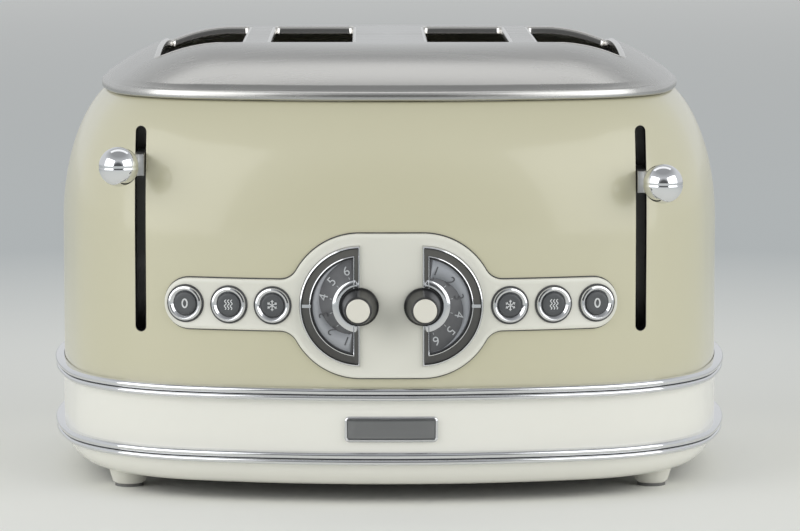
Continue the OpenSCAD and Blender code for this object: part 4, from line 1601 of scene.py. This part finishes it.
@dataclass
class Inside:
    """Pieces inside: the lift springs, and the frame shapes that stay, with their own finishes."""

    kept: list[str] = field(default_factory=list)
    wire_r: float = 0.7 * MM
    spring_turns: int = 14

    def spring(self, side: Side) -> None:
        """Winds one lift spring.

        Args:
            side: Side of the toaster.
        """
        node, joint = f"lift_spring_{side.word}", f"lever_{side.word}"
        low, high = (Vector(corner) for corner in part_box(node))
        middle, steps, sides = (low + high) / 2, 20, 8
        coil_r = (high.x - low.x) / 2 - self.wire_r
        length = high.z - low.z - 2 * self.wire_r
        count = self.spring_turns * steps
        rings = []
        for i in range(count + 1):
            turn = 2 * math.pi * i / steps
            away = Vector((math.cos(turn), math.sin(turn), 0))
            spot = Vector((middle.x, middle.y, low.z + self.wire_r + length * i / count)) + away * coil_r
            rings.append([spot + (away * math.cos(a) + Vector((0, 0, 1)) * math.sin(a)) * self.wire_r
                          for a in round_turn(sides)])
        bm = bmesh.new()
        Maker.rings(bm, rings, caps=True)
        piece = Maker.piece(f"wound_lift_spring_{side.word}", bm, [SPRING_STEEL], "root", 60)
        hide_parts(node)
        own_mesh(piece)

    def dress(self) -> None:
        """Gives every node that stays the finish of its material slot; the slot collars get a darker copy
        of it, painted shade.
        """
        slots = {row["node"]: row["material_slot"] for row in frame["record"]["subparts"]}
        for node, made in frame["nodes"].items():
            # The slot collars take the darker copy of the inner sheet as painted shade.
            finish = SHADED_COLLAR_SHEET if node == "slot_collars" else CAD_FINISHES.get(slots.get(node, ""))
            if finish is None or node.startswith("lift_spring"):
                continue
            self.kept.append(node)
            made.data.materials.clear()
            made.data.materials.append(finish.material())
            LOG.info("%s keeps its frame shape as %s", node, finish.name)


@dataclass(frozen=True)
class SoftBox:
    """One soft lamp."""

    name: str
    place: tuple[float, float, float]
    size: Point2
    power: float
    aim: tuple[float, float, float] = (0, 0, 0.1)

    def build(self) -> None:
        """Hangs the lamp and turns it to its aim."""
        data = bpy.data.lights.new(self.name, "AREA")
        data.shape = "RECTANGLE"
        data.size, data.size_y = self.size
        data.energy = self.power
        made = link_object(self.name, data)
        made.location = self.place
        made.rotation_euler = (Vector(self.aim) - Vector(self.place)).to_track_quat("-Z", "Y").to_euler()


@dataclass(frozen=True)
class Shade:
    """A part of the sky that darkens towards a direction."""

    direction: tuple[float, float, float]
    start: float
    end: float
    darkest: float


@dataclass
class Studio:
    """Pale floor, soft lamps and the camera."""

    lens: float = 190.0
    camera_place: tuple[float, float, float] = (-0.013, -2.05, 0.3194)
    pitch: float = 6.25
    yaw: float = 0.51
    floor_reach: float = 30.0
    fade_reach: float = 5.0
    air_strength: float = 0.8
    air_colour: tuple[float, float, float, float] = (0.86, 0.88, 0.9, 1)
    behind_camera: Shade = Shade((0, -1, 0), 0.78, 0.92, 0.15)
    overhead: Shade = Shade((0, 0, 1), 0.5, 0.9, 0.5)
    boxes: tuple[SoftBox, ...] = (
        SoftBox("overhead_box", (0, 0.95, 2.5), (3.0, 0.9), 6.5),
        SoftBox("left_box", (-2.0, -1.35, 0.95), (2.7, 2.0), 28),
        SoftBox("right_box", (2.0, -1.35, 0.95), (2.7, 2.0), 27))
    # Floor colours by distance: painted light, brightest under the toaster and greyer round it.
    tones: tuple = ((0.03, linear(246, 246, 241)), (0.1, linear(232, 233, 229)),
                    (0.2, linear(203, 207, 207)), (1.0, linear(255, 255, 252)))

    def ground(self) -> None:
        """Builds the round floor, white under the toaster and pale grey far off: its colour is painted
        light, a pool of light under the toaster fading to grey.
        """
        sides = 96
        rings = (0.0005, 0.6, 1.5, 4.0, self.floor_reach)
        bm = bmesh.new()
        Maker.rings(bm, [[Vector((reach * math.cos(a), reach * math.sin(a), 0))
                          for a in round_turn(sides)] for reach in rings])
        bmesh.ops.recalc_face_normals(bm, faces=bm.faces)
        bm.faces.ensure_lookup_table()
        if bm.faces[0].normal.z < 0:
            bmesh.ops.reverse_faces(bm, faces=bm.faces)
        floor = mesh_object("studio_floor", bm)
        material = bpy.data.materials.new("studio_paper")
        material.use_nodes = True
        tree = material.node_tree
        shader = tree.nodes["Principled BSDF"]
        shader.inputs["Roughness"].default_value = 0.9
        shader.inputs["Specular IOR Level"].default_value = 0.0
        place = add_node(tree, "ShaderNodeTexCoord")
        away = add_node(tree, "ShaderNodeVectorMath", operation="LENGTH")
        share = add_node(tree, "ShaderNodeMapRange", {"From Max": self.fade_reach})
        tones = add_node(tree, "ShaderNodeValToRGB")
        ramp = tones.color_ramp
        ramp.elements[0].position, ramp.elements[0].color = self.tones[0]
        ramp.elements[1].position, ramp.elements[1].color = self.tones[-1]
        for position, colour in self.tones[1:-1]:
            ramp.elements.new(position).color = colour
        tree.links.new(place.outputs["Object"], away.inputs[0])
        tree.links.new(away.outputs["Value"], share.inputs["Value"])
        tree.links.new(share.outputs["Result"], tones.inputs["Fac"])
        tree.links.new(tones.outputs["Color"], shader.inputs["Base Color"])
        floor.data.materials.append(material)

    def air(self, tree: bpy.types.ShaderNodeTree) -> None:
        """Makes the room's light: pale all round, darker overhead and behind the photographer.

        Args:
            tree: The world's tree.
        """
        back = tree.nodes["Background"]
        back.inputs["Color"].default_value = self.air_colour
        heading = add_node(tree, "ShaderNodeTexCoord").outputs["Generated"]
        shares = []
        for shade in (self.behind_camera, self.overhead):
            along = add_node(tree, "ShaderNodeVectorMath", {1: shade.direction}, operation="DOT_PRODUCT")
            fade = add_node(tree, "ShaderNodeMapRange", {"From Min": shade.start, "From Max": shade.end,
                                                         "To Min": 1, "To Max": shade.darkest})
            tree.links.new(heading, along.inputs[0])
            tree.links.new(along.outputs["Value"], fade.inputs["Value"])
            shares.append(fade.outputs["Result"])
        both = add_node(tree, "ShaderNodeMath", operation="MULTIPLY")
        level = add_node(tree, "ShaderNodeMath", {1: self.air_strength}, operation="MULTIPLY")
        tree.links.new(shares[0], both.inputs[0])
        tree.links.new(shares[1], both.inputs[1])
        tree.links.new(both.outputs["Value"], level.inputs[0])
        tree.links.new(level.outputs["Value"], back.inputs["Strength"])

    def build(self) -> None:
        """Builds the studio and sets the camera."""
        self.ground()
        world = bpy.data.worlds.new("studio_air")
        world.use_nodes = True
        self.air(world.node_tree)
        bpy.context.scene.world = world
        for box in self.boxes:
            box.build()
        data = bpy.data.cameras.new("photo_view")
        data.lens = self.lens
        data.sensor_width = 36
        camera = link_object("photo_view", data)
        camera.location = self.camera_place
        camera.rotation_euler = (math.radians(90 - self.pitch), 0, math.radians(-self.yaw))
        scene = bpy.context.scene
        scene.camera = camera
        scene.view_settings.view_transform = "Standard"


def main() -> None:
    """Builds every sub-assembly in order."""
    logging.basicConfig(level=logging.INFO, format="%(message)s")
    layout = Layout.read()
    inside = Inside()
    inside.dress()
    for side in Side:
        inside.spring(side)
    builders: list[Callable[[], None]] = [
        Studio().build, Body(layout).build, Cover(layout).build, Base(layout).build, Repeats.feet,
        Panel(layout).build]
    builders += [Knob(layout, side).build for side in Side]
    builders += [LeverBall(layout, side).build for side in Side]
    for build in builders:
        build()


if __name__ == "__main__":
    main()
